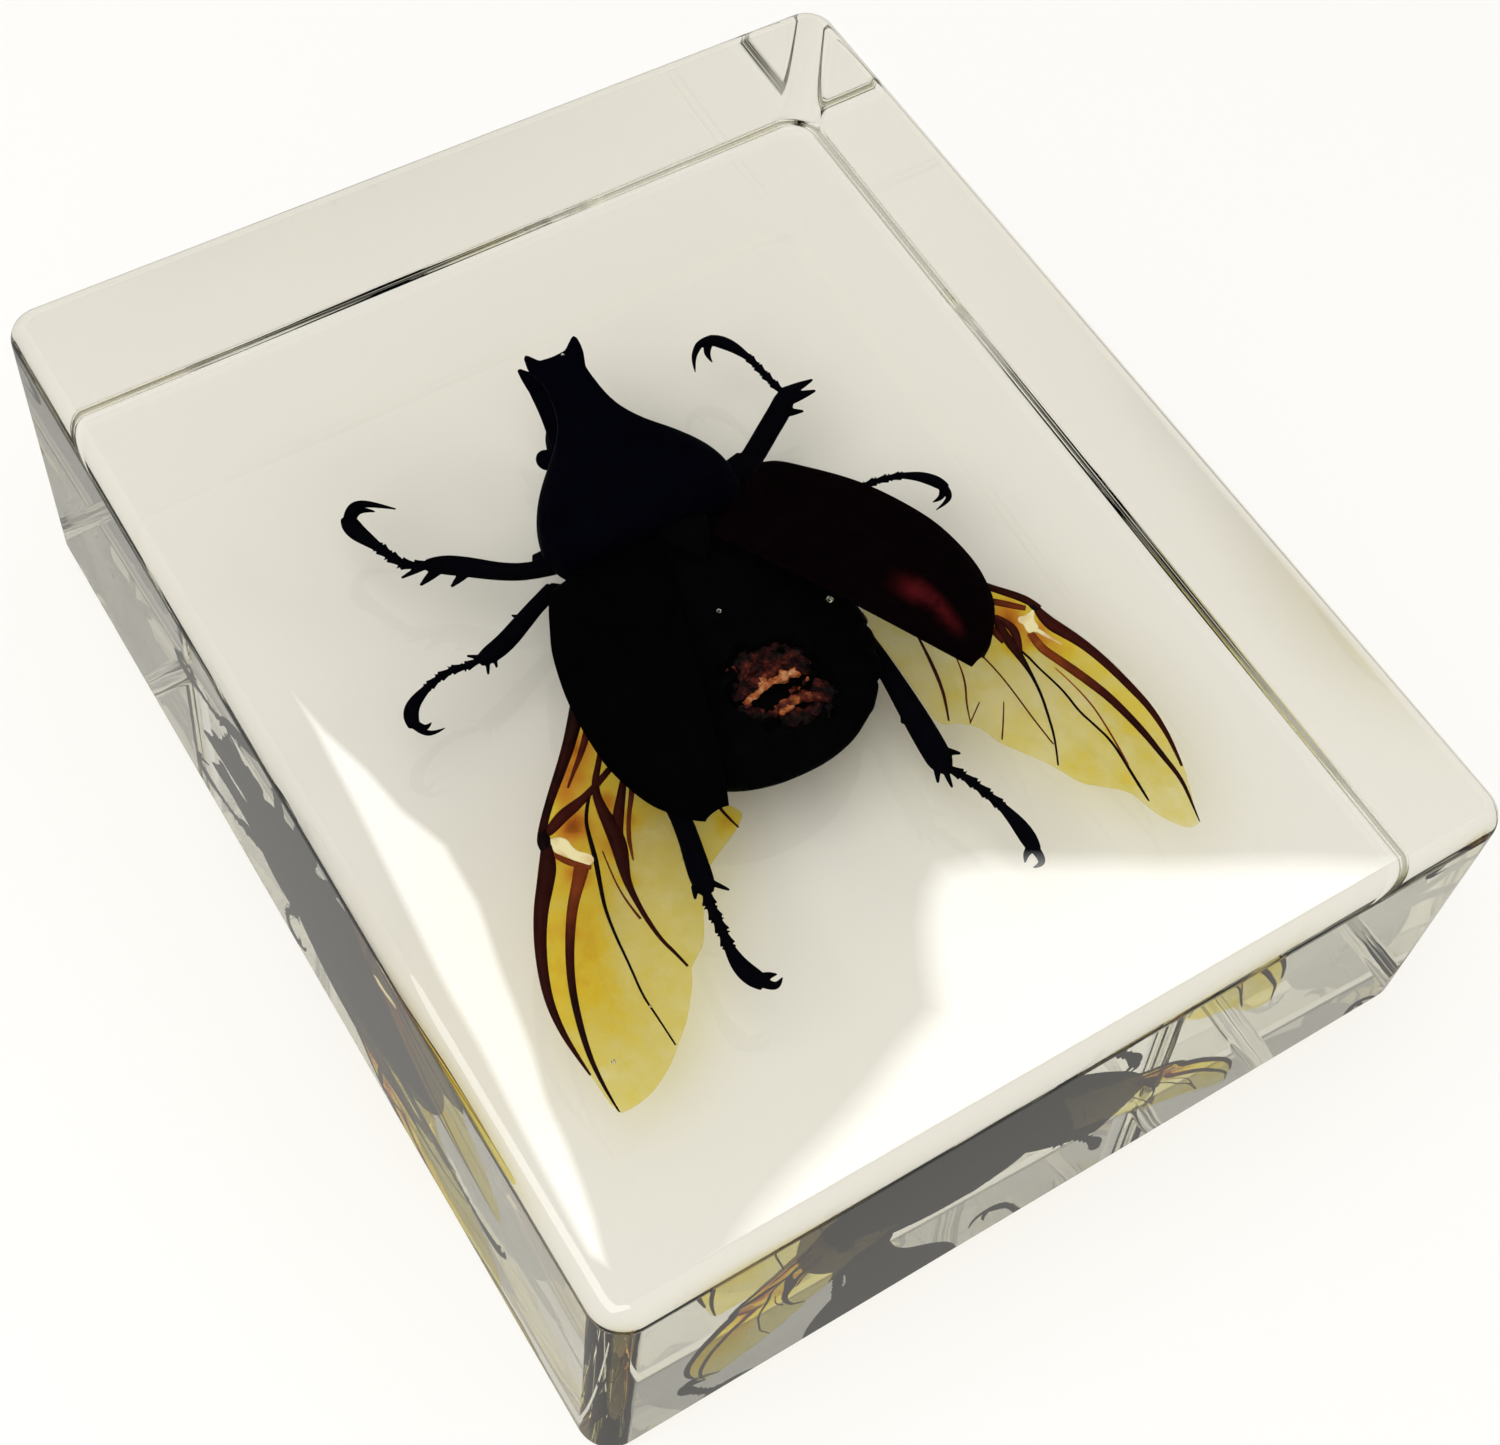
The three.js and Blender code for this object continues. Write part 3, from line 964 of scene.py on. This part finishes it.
FOLD_PATCHES = {
    "veins_left": [
        (-23.3, -12.1), (-22.3, -12.0), (-21.5, -12.2), (-21.0, -12.8), (-20.9, -13.5), (-20.6, -14.2),
        (-19.8, -14.9), (-19.6, -15.6), (-20.3, -15.9), (-21.1, -15.3), (-21.7, -14.4), (-22.4, -13.7),
        (-22.9, -12.8),
    ],
    "veins_right": [
        (28.9, -10.3), (28.3, -11.0), (28.0, -11.6), (28.0, -12.4), (27.5, -12.8), (26.8, -12.7),
        (26.6, -12.2), (26.7, -11.6), (26.4, -11.1), (26.7, -10.6), (27.4, -10.7), (28.0, -10.6),
    ],
}


def toned(obj, tone_at):
    """Writes the tone that the finish reads, on each point."""
    tone = obj.data.attributes.new("tone", "FLOAT", "POINT")
    for vertex, value in zip(obj.data.vertices, tone.data):
        value.value = tone_at(vertex.co)
    return obj


def vein(root_tone, end_tone, points):
    """A tube laid along the film and flattened onto it."""
    obj = rod([(x, y, wing_height(x, y), radius) for x, y, radius in points], sides=2)
    start, end = Vector(points[0][:2]), Vector(points[-1][:2])
    for vertex in obj.data.vertices:
        film = wing_height(vertex.co.x, vertex.co.y)
        vertex.co.z = film + (vertex.co.z - film) * VEIN_FLATNESS + VEIN_LIFT

    def tone_at(spot):
        from_root, to_end = (spot.xy - start).length, (spot.xy - end).length
        return root_tone + (end_tone - root_tone) * smoothstep(0, 0.6, from_root / (from_root + to_end))

    return toned(obj, tone_at)


def fold_patch(outline):
    """A pale pad of soft skin, laid on the film."""
    rim = smooth_line([*outline, outline[0]], steps=3)[:-1]
    bpy.ops.object.select_all(action="DESELECT")
    bpy.ops.mesh.primitive_circle_add(vertices=len(rim), fill_type="NGON")
    obj = bpy.context.object
    for vertex, spot in zip(obj.data.vertices, rim):
        vertex.co = (*spot, 0)
    bpy.ops.object.mode_set(mode="EDIT")
    bpy.ops.mesh.select_all(action="SELECT")
    bpy.ops.mesh.extrude_region_move(TRANSFORM_OT_translate={"value": (0, 0, PAD_WALL)})
    bpy.ops.mesh.select_all(action="SELECT")
    bpy.ops.mesh.normals_make_consistent(inside=False)
    bpy.ops.object.mode_set(mode="OBJECT")
    apply_modifier(obj, "SUBSURF", levels=2, render_levels=2)
    for vertex in obj.data.vertices:
        vertex.co.z += wing_height(vertex.co.x, vertex.co.y) + PAD_LIFT
    return toned(obj, lambda spot: 0.92 + 0.15 * noise.noise(spot * 0.8))


for name, veins in (("veins_left", LEFT_VEINS), ("veins_right", RIGHT_VEINS)):
    seal(joined(name, [fold_patch(FOLD_PATCHES[name]), *[vein(*values) for values in veins]]), VEIN_FINISH)


# ---- Legs -----------------------------------------------------------------------------------------------
# Six jointed legs: a stout thigh under the body, a toothed shin, a foot of four short flaring joints and a
# long one, and two curved claws. Each is a string of hard tubes that dried stiff in this pose.
LEG_CHITIN = chitin("leg_chitin", (0.0005, 0.0006, 0.0014), (0.0020, 0.0021, 0.0044), 6000, 0.4, 0.55)
SHORT_JOINTS = 4
SHORT_REACH = 0.52
SHIN_BRISTLES = 12
bristle_draw = random.Random(11)


def foot_joints(path, thickness):
    """The short joints, each with a spine on both sides of its end, and the long last one."""
    line = smooth_line(path)
    parts = []
    for joint in range(SHORT_JOINTS):
        start = at_share(line, SHORT_REACH * joint / SHORT_JOINTS)
        end = at_share(line, SHORT_REACH * (joint + 1) / SHORT_JOINTS)
        flare = ((start, 0.36), (start.lerp(end, 0.7), 0.64), (end, 0.84))
        parts.append(rod([(*spot, size * thickness) for spot, size in flare], rounded=False))
        way = (end - start).normalized()
        for side in (-1, 1):
            spine = end + Vector((-way.y * side, way.x * side, 0)) * 0.75 * thickness + way * 0.35
            parts.append(rod([(*end, 0.2 * thickness), (*spine, 0.07)], rounded=False))
    last = [at_share(line, SHORT_REACH + (1 - SHORT_REACH) * share) for share in (0, 0.3, 0.6, 0.85, 1)]
    girth = (0.5, 0.8, 1.05, 1.05, 0.8)
    parts.append(rod([(*spot, size * thickness) for spot, size in zip(last, girth)]))
    return parts


def claw(path, thickness):
    girth = [thickness * (1 - 0.85 * (index / (len(path) - 1)) ** 1.6) for index in range(len(path))]
    return rod([(*spot, size) for spot, size in zip(path, girth)])


def bristles(shin, count):
    """Short stiff hairs that stand out from the shin, each a slim cone."""
    line = smooth_line([spot[:3] for spot in shin])
    cones = []
    for hair in range(count):
        root = at_share(line, bristle_draw.uniform(0.15, 1))
        turn = bristle_draw.uniform(0, math.tau)
        way = Vector((math.cos(turn), math.sin(turn), bristle_draw.uniform(-0.4, 0.4))).normalized()
        length = bristle_draw.uniform(1.0, 1.5)
        bpy.ops.object.select_all(action="DESELECT")
        bpy.ops.mesh.primitive_cone_add(
            vertices=5,
            radius1=0.09,
            depth=length,
            location=root + way * length / 2,
            rotation=way.to_track_quat("Z", "Y").to_euler(),
        )
        cones.append(bpy.context.object)
        bpy.ops.object.transform_apply()
    return cones


def leg(name, thigh, shin, teeth, foot, claws, foot_thickness, claw_thickness):
    parts = [rod(thigh), rod(shin, sides=5)]
    for root, tip, width in teeth:
        middle = [(a + b) / 2 for a, b in zip(root, tip)]
        parts.append(rod([(*root, width), (*middle, width * 0.8), (*tip, 0.12)]))
    parts += foot_joints(foot, foot_thickness)
    parts += [claw(path, claw_thickness) for path in claws]
    limb = melted(name, parts, grain=0.085, smoothing=1)
    seal(joined(name, [limb, *bristles(shin, SHIN_BRISTLES)]), LEG_CHITIN)


leg(
    "leg_front_left",
    thigh=[(-3.0, 15.5, 8.2, 1.5), (-6.5, 15.2, 8.8, 1.6), (-10.2, 15.0, 9.6, 1.25)],
    shin=[(-8.9, 14.2, 9.8, 0.95), (-11.3, 14.5, 10.0, 0.92), (-13.8, 15.7, 10.0, 0.95),
          (-16.6, 17.8, 9.9, 1.08), (-18.6, 19.0, 9.8, 1.0), (-19.6, 19.4, 9.8, 0.6)],
    teeth=[((-16.4, 17.2, 9.9), (-18.5, 16.3, 9.6), 0.6), ((-18.6, 18.6, 9.8), (-21.0, 17.7, 9.5), 0.62),
           ((-19.6, 19.4, 9.8), (-22.2, 19.2, 9.5), 0.42)],
    foot=[(-19.3, 19.4, 9.8), (-20.8, 19.9, 9.7), (-21.7, 20.8, 9.7), (-22.3, 22.0, 9.8),
          (-22.9, 23.4, 9.9), (-23.6, 24.8, 9.9), (-24.1, 26.1, 9.9), (-24.0, 27.3, 9.9)],
    claws=[[(-24.1, 26.8, 9.9), (-23.4, 28.1, 9.9), (-22.3, 28.4, 9.7), (-20.9, 27.7, 9.4),
            (-19.4, 26.6, 9.1)],
           [(-24.0, 27.0, 9.8), (-23.2, 27.9, 9.2), (-22.2, 28.1, 8.7), (-21.2, 27.5, 8.3)]],
    foot_thickness=0.88,
    claw_thickness=0.62,
)
leg(
    "leg_front_right",
    thigh=[(3.0, 14.5, 8.2, 1.6), (8.0, 14.6, 9.0, 2.3), (11.8, 15.6, 9.5, 2.6), (13.5, 17.2, 9.6, 1.5)],
    shin=[(12.4, 16.4, 9.7, 1.2), (13.6, 17.0, 9.9, 1.15), (15.0, 18.0, 10.0, 1.15),
          (17.0, 19.5, 10.0, 1.15), (19.0, 20.95, 9.9, 1.15), (20.2, 22.2, 9.8, 1.0),
          (20.5, 22.9, 9.8, 0.5)],
    teeth=[((19.0, 20.6, 9.8), (21.1, 20.0, 9.5), 0.6), ((20.2, 21.8, 9.8), (23.4, 21.7, 9.5), 0.75),
           ((20.4, 22.6, 9.8), (23.8, 23.0, 9.5), 0.7)],
    foot=[(20.2, 22.9, 9.8), (19.9, 24.7, 9.7), (19.6, 26.2, 9.8), (19.3, 27.8, 9.9), (18.7, 29.4, 9.9),
          (17.8, 30.8, 9.9), (16.8, 31.6, 9.9)],
    claws=[[(17.0, 31.6, 9.9), (15.9, 31.7, 9.9), (14.9, 31.0, 9.7), (14.2, 30.1, 9.4), (13.8, 28.9, 9.1)],
           [(16.6, 31.4, 9.8), (16.1, 30.8, 9.4), (15.9, 30.2, 9.0), (16.0, 29.4, 8.7)]],
    foot_thickness=0.70,
    claw_thickness=0.48,
)
leg(
    "leg_middle_left",
    thigh=[(-4.0, 8.0, 7.6, 1.4), (-7.6, 10.0, 8.4, 1.3), (-10.6, 11.8, 9.8, 1.0)],
    shin=[(-10.2, 11.9, 9.9, 0.85), (-12.2, 11.0, 10.0, 0.82), (-14.2, 9.9, 10.0, 0.92),
          (-16.8, 8.5, 9.9, 1.0), (-19.0, 7.9, 9.8, 0.92), (-19.7, 7.8, 9.8, 0.5)],
    teeth=[((-19.2, 8.0, 9.8), (-20.4, 8.9, 9.6), 0.3), ((-18.2, 7.8, 9.8), (-18.5, 6.6, 9.6), 0.26),
           ((-18.9, 7.7, 9.8), (-19.5, 6.3, 9.5), 0.26), ((-14.2, 10.4, 9.9), (-14.9, 11.0, 9.8), 0.25)],
    foot=[(-19.6, 7.9, 9.8), (-21.1, 7.9, 9.7), (-22.5, 8.1, 9.7), (-23.8, 7.8, 9.8), (-25.4, 7.2, 9.8),
          (-26.9, 6.4, 9.8), (-27.7, 5.3, 9.8), (-27.8, 4.2, 9.8)],
    claws=[[(-27.8, 4.5, 9.8), (-27.4, 3.4, 9.6), (-26.5, 2.9, 9.3), (-25.3, 3.1, 9.0)],
           [(-27.7, 4.5, 9.8), (-27.2, 3.9, 9.3), (-26.6, 3.9, 8.9), (-26.1, 4.3, 8.6)]],
    foot_thickness=0.68,
    claw_thickness=0.42,
)
leg(
    "leg_middle_right",
    thigh=[(4.5, 8.0, 7.6, 1.4), (8.0, 9.2, 8.4, 1.3), (11.2, 10.2, 9.8, 1.0)],
    shin=[(10.8, 10.1, 9.9, 0.8), (13.0, 10.0, 10.0, 0.85), (16.0, 9.8, 10.0, 0.95), (19.0, 9.6, 9.9, 0.95),
          (20.8, 9.5, 9.8, 0.55)],
    teeth=[((19.6, 9.6, 9.8), (20.8, 10.9, 9.6), 0.3), ((19.6, 9.4, 9.8), (20.9, 8.2, 9.6), 0.28)],
    foot=[(20.6, 9.5, 9.8), (22.9, 9.6, 9.7), (24.7, 9.3, 9.8), (26.2, 8.9, 9.8), (27.5, 8.1, 9.8),
          (28.6, 6.9, 9.8), (29.0, 5.9, 9.8)],
    claws=[[(28.9, 6.2, 9.8), (29.1, 5.2, 9.7), (28.3, 4.5, 9.4), (27.0, 4.3, 9.1)],
           [(28.9, 6.2, 9.8), (28.5, 5.5, 9.3), (27.9, 5.3, 8.9), (27.3, 5.4, 8.6)]],
    foot_thickness=0.64,
    claw_thickness=0.42,
)
leg(
    "leg_hind_left",
    thigh=[(-4.2, 2.4, 6.4, 1.6), (-8.6, -4.0, 6.8, 1.7), (-11.6, -8.8, 8.8, 1.2)],
    shin=[(-11.4, -8.4, 8.8, 0.8), (-11.0, -11.0, 10.4, 0.9), (-10.8, -13.4, 11.4, 0.95),
          (-11.2, -16.7, 11.5, 0.95), (-12.0, -20.4, 11.4, 1.1), (-12.2, -21.8, 11.3, 1.0),
          (-12.3, -22.5, 11.3, 0.6)],
    teeth=[((-11.6, -21.6, 11.2), (-10.4, -23.0, 11.0), 0.34),
           ((-13.0, -21.4, 11.3), (-13.5, -22.5, 11.1), 0.34),
           ((-11.5, -17.6, 11.4), (-12.6, -18.6, 11.3), 0.3)],
    foot=[(-12.3, -22.2, 11.3), (-12.6, -23.5, 11.1), (-12.8, -26.1, 11.0), (-13.1, -28.5, 11.0),
          (-12.9, -30.2, 11.0), (-12.4, -31.4, 10.9), (-11.9, -32.1, 10.8)],
    claws=[[(-12.0, -31.9, 10.8), (-11.4, -32.6, 10.6), (-10.7, -32.6, 10.3), (-10.1, -32.1, 10.0)],
           [(-11.8, -31.6, 10.9), (-11.1, -31.5, 10.6), (-10.4, -31.7, 10.2)]],
    foot_thickness=0.86,
    claw_thickness=0.5,
)
leg(
    "leg_hind_right",
    thigh=[(4.8, 2.4, 7.6, 1.7), (9.6, 0.6, 7.8, 1.7), (13.6, -2.0, 8.8, 1.2)],
    shin=[(13.4, -1.8, 8.9, 0.8), (13.7, -6.0, 9.2, 0.85), (13.6, -10.6, 9.4, 1.05),
          (13.4, -15.0, 9.5, 1.3), (13.2, -18.6, 9.6, 1.35), (13.1, -20.2, 9.6, 1.2),
          (13.2, -20.9, 9.6, 0.6)],
    teeth=[((12.6, -20.0, 9.6), (11.8, -21.6, 9.5), 0.4), ((13.1, -20.4, 9.6), (12.7, -22.6, 9.5), 0.36),
           ((14.2, -19.2, 9.6), (15.2, -19.9, 9.5), 0.4), ((12.9, -13.6, 9.5), (12.0, -14.8, 9.4), 0.35)],
    foot=[(13.3, -20.6, 9.6), (14.3, -22.1, 9.5), (15.0, -23.9, 9.5), (15.6, -25.8, 9.6),
          (16.0, -27.5, 9.6), (16.2, -29.5, 9.6), (16.1, -31.3, 9.6)],
    claws=[[(16.1, -31.0, 9.6), (16.3, -32.2, 9.5), (15.9, -32.8, 9.2), (15.2, -32.6, 8.9)],
           [(16.1, -31.0, 9.6), (15.7, -31.0, 9.2), (15.2, -31.3, 8.8), (14.9, -31.8, 8.5)]],
    foot_thickness=0.78,
    claw_thickness=0.48,
)


# ---- Resin block ----------------------------------------------------------------------------------------
# One clear cast block, sawn and polished to flat faces with softly rounded edges, in which a few tiny air
# bubbles stayed. It takes the place and exact size of the plain block of the frame.
UPRIGHT_ROUNDING = 3.2
TOP_ROUNDING = 2.0
BASE_ROUNDING = 1.5
ROUNDING_STEPS = 12
RESIN_IOR = 1.55
BUBBLES = [
    # across, along, height, radius, in the beetle's own millimetres
    (0.7, 0.3, 18.5, 0.28),
    (10.4, -3.0, 18.5, 0.38),
    (0.65, 31.9, 20.3, 0.16),
    (-26.5, -32.5, 10.1, 0.22),
    (-21.4, -29.4, 10.0, 0.14),
]

low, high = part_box("resin_block")
bpy.ops.object.select_all(action="DESELECT")
bpy.ops.mesh.primitive_cube_add(size=1, location=(low + high) / 2, scale=high - low)
block = bpy.context.object
block.name = "resin_casting"
block.data.name = "resin_casting"
bpy.ops.object.transform_apply()


def round_edges(obj, chosen, radius):
    """Rounds the edges for which chosen(first end, second end) is true."""
    only(obj)
    bpy.ops.object.mode_set(mode="EDIT")
    bpy.ops.mesh.select_mode(type="EDGE")
    bpy.ops.mesh.select_all(action="DESELECT")
    bpy.ops.object.mode_set(mode="OBJECT")
    ends = obj.data.vertices
    for edge in obj.data.edges:
        edge.select = chosen(ends[edge.vertices[0]].co, ends[edge.vertices[1]].co)
    bpy.ops.object.mode_set(mode="EDIT")
    bpy.ops.mesh.bevel(offset=radius * MM, segments=ROUNDING_STEPS, affect="EDGES")
    bpy.ops.object.mode_set(mode="OBJECT")


NEAR = 0.0001
round_edges(block, lambda a, b: abs(a.z - b.z) > NEAR, UPRIGHT_ROUNDING)
round_edges(block, lambda a, b: min(a.z, b.z) > high.z - NEAR, TOP_ROUNDING)
round_edges(block, lambda a, b: max(a.z, b.z) < low.z + NEAR, BASE_ROUNDING)
bpy.ops.object.shade_smooth()
apply_modifier(block, "WEIGHTED_NORMAL", keep_sharp=False, weight=100)

for across, along, height, radius in BUBBLES:
    spot = Vector((across, along, height)) * MM
    spot.xy = spot.xy @ Matrix.Rotation(BEETLE_TURN, 2).transposed() + Vector((BEETLE_ACROSS * MM, 0))
    bpy.ops.object.select_all(action="DESELECT")
    bpy.ops.mesh.primitive_uv_sphere_add(segments=20, ring_count=12, radius=radius * MM, location=spot)
    bubble = bpy.context.object
    bpy.ops.object.transform_apply()
    bpy.ops.object.mode_set(mode="EDIT")
    bpy.ops.mesh.flip_normals()
    bpy.ops.object.mode_set(mode="OBJECT")
    bpy.ops.object.shade_smooth()
    joined("resin_casting", [block, bubble])


def resin_finish():
    finish = {"Base Color": (1, 1, 1, 1), "Roughness": 0, "IOR": RESIN_IOR, "Transmission Weight": 1}
    material, tree, surface = finish_with("clear_resin", finish)
    # the polish leaves a very slow waviness
    place = node(tree, "ShaderNodeTexCoord")
    wave = node(tree, "ShaderNodeTexNoise", {"Scale": 45, "Detail": 1})
    bump = node(tree, "ShaderNodeBump", {"Strength": 0.25, "Distance": 0.00012})
    # light from the lamps and light that the floor scatters goes straight through
    path = node(tree, "ShaderNodeLightPath")
    straight = node(tree, "ShaderNodeMath", operation="MAXIMUM")
    clear = node(tree, "ShaderNodeBsdfTransparent", {"Color": (0.93, 0.92, 0.90, 1)})
    mix = node(tree, "ShaderNodeMixShader")
    tint = node(tree, "ShaderNodeVolumeAbsorption", {"Color": (0.93, 0.922, 0.845, 1), "Density": 12})
    out = tree.nodes["Material Output"]
    wire(
        tree,
        (place, "Object", wave, "Vector"),
        (wave, "Fac", bump, "Height"),
        (bump, "Normal", surface, "Normal"),
        (path, "Is Shadow Ray", straight, 0),
        (path, "Is Diffuse Ray", straight, 1),
        (straight, "Value", mix, "Fac"),
        (surface, "BSDF", mix, 1),
        (clear, "BSDF", mix, 2),
        (mix, "Shader", out, "Surface"),
        (tint, "Volume", out, "Volume"),
    )
    return material


block.data.materials.clear()
block.data.materials.append(resin_finish())
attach(block, "root")
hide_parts("resin_block")


# ---- Studio ---------------------------------------------------------------------------------------------
# A plain pale table under soft light from above, with two bright panels behind it that mirror in the top
# face. None of it belongs to the object.
FLOOR_GAP = 0.00008
FLOOR_SIZE = 3.0


def plain_finish(name, colour, roughness):
    material, _, _ = finish_with(name, {"Base Color": (*colour, 1), "Roughness": roughness})
    return material


bpy.ops.object.select_all(action="DESELECT")
bpy.ops.mesh.primitive_plane_add(size=FLOOR_SIZE, location=(0, 0, -FLOOR_GAP))
floor = bpy.context.object
floor.name = "floor"
floor.data.materials.append(plain_finish("pale_table", (0.87, 0.865, 0.855), 0.6))
# the walls would mirror the white table far too brightly, so they mirror the dimmer room instead
floor.visible_glossy = False

PANEL_HEIGHT = 0.7
PANEL_GLOW = 7.0
PANELS = {
    # per panel: the width of its soft edge, and its outline
    "panel_left": (
        0.0035,
        [
            (0.098, 0.408), (0.102, 0.381), (0.109, 0.356), (0.112, 0.334), (0.120, 0.311), (0.118, 0.283),
            (0.112, 0.255), (0.106, 0.219), (0.102, 0.201), (0.100, 0.184), (0.097, 0.168), (0.094, 0.152),
            (0.088, 0.132), (0.083, 0.142), (0.089, 0.266),
        ],
    ),
    "panel_right": (
        0.012,
        [
            (0.450, 0.100), (0.450, 0.119), (0.359, 0.172), (0.327, 0.191), (0.298, 0.208), (0.278, 0.213),
            (0.266, 0.206), (0.256, 0.194), (0.247, 0.178), (0.240, 0.163), (0.221, 0.156), (0.206, 0.150),
            (0.190, 0.145), (0.165, 0.138), (0.140, 0.129), (0.115, 0.117), (0.095, 0.100),
        ],
    ),
}


def only_mirrored(obj):
    """Hides it from diffuse, shadow and transmission rays, so it shows only in reflections and to the
    camera.
    """
    obj.visible_diffuse = False
    obj.visible_shadow = False
    obj.visible_transmission = False


for name, (soft_edge, outline) in PANELS.items():
    mesh = bpy.data.meshes.new(name)
    mesh.from_pydata([(x, y, PANEL_HEIGHT) for x, y in outline], [], [list(range(len(outline)))])
    panel = bpy.data.objects.new(name, mesh)
    scene.collection.objects.link(panel)
    only(panel)
    bpy.ops.object.mode_set(mode="EDIT")
    bpy.ops.mesh.select_all(action="SELECT")
    bpy.ops.mesh.inset(thickness=soft_edge)
    bpy.ops.object.mode_set(mode="OBJECT")
    fade = mesh.attributes.new("fade", "FLOAT", "POINT")
    for vertex, value in zip(mesh.vertices, fade.data):
        value.value = 1.0 if vertex.select else 0.0
    glow, tree, lit = finish_with(name, {"Base Color": (0, 0, 0, 1), "Emission Strength": PANEL_GLOW})
    strength = node(tree, "ShaderNodeAttribute", attribute_name="fade")
    wire(tree, (strength, "Fac", lit, "Emission Color"))
    mesh.materials.append(glow)
    only_mirrored(panel)

# a black flag above the panels keeps the rest of the top face clear of glare
FLAG_SIZE = 0.9
FLAG_PLACE = (0.32, 0.40, PANEL_HEIGHT + 0.05)
bpy.ops.object.select_all(action="DESELECT")
bpy.ops.mesh.primitive_plane_add(size=FLAG_SIZE, location=FLAG_PLACE)
flag = bpy.context.object
flag.name = "flag"
flag.data.materials.append(plain_finish("black_cloth", (0.0, 0.0, 0.0), 1.0))
flag.visible_camera = False
only_mirrored(flag)


def soft_light(name, place, size, power, mirrored):
    lamp = bpy.data.lights.new(name, "AREA")
    lamp.shape = "RECTANGLE"
    lamp.size, lamp.size_y = size
    lamp.energy = power
    obj = bpy.data.objects.new(name, lamp)
    obj.location = place
    obj.rotation_euler = (-Vector(place)).to_track_quat("-Z", "Y").to_euler()
    obj.visible_glossy = mirrored
    obj.visible_transmission = False
    scene.collection.objects.link(obj)


soft_light("overhead", (-0.5, 0.0, 1.4), (1.2, 1.2), 14, True)
soft_light("side", (1.2, -0.4, 0.9), (0.7, 0.7), 4, False)

world = bpy.data.worlds.new("studio")
world.use_nodes = True
scene.world = world
sky = world.node_tree
direction = node(sky, "ShaderNodeTexCoord")
split = node(sky, "ShaderNodeSeparateXYZ")
shade = ramp(sky, (0.0, (0.44, 0.43, 0.40)), (0.75, (0.70, 0.69, 0.67)))
lean = node(sky, "ShaderNodeMapRange", {"From Min": -1, "To Min": 1.15, "To Max": 0.65})
wire(
    sky,
    (direction, "Generated", split, "Vector"),
    (split, "Z", shade, "Fac"),
    (shade, "Color", sky.nodes["Background"], "Color"),
    (split, "X", lean, "Value"),
    (lean, "Result", sky.nodes["Background"], "Strength"),
)

CAMERA_PLACE = (-0.07585, -0.09911, 0.21036)
CAMERA_TURN = (31.2096, -4.4009, -31.9463)
LENS = 59.14
camera = bpy.data.objects.new("camera", bpy.data.cameras.new("camera"))
camera.data.lens = LENS
camera.data.sensor_fit = "HORIZONTAL"
camera.data.clip_start = 0.01
camera.location = CAMERA_PLACE
camera.rotation_euler = [math.radians(angle) for angle in CAMERA_TURN]
scene.collection.objects.link(camera)
scene.camera = camera

scene.view_settings.view_transform = "Standard"
scene.cycles.use_denoising = True
scene.cycles.max_bounces = 18
scene.cycles.glossy_bounces = 16
scene.cycles.transmission_bounces = 18
scene.cycles.transparent_max_bounces = 32
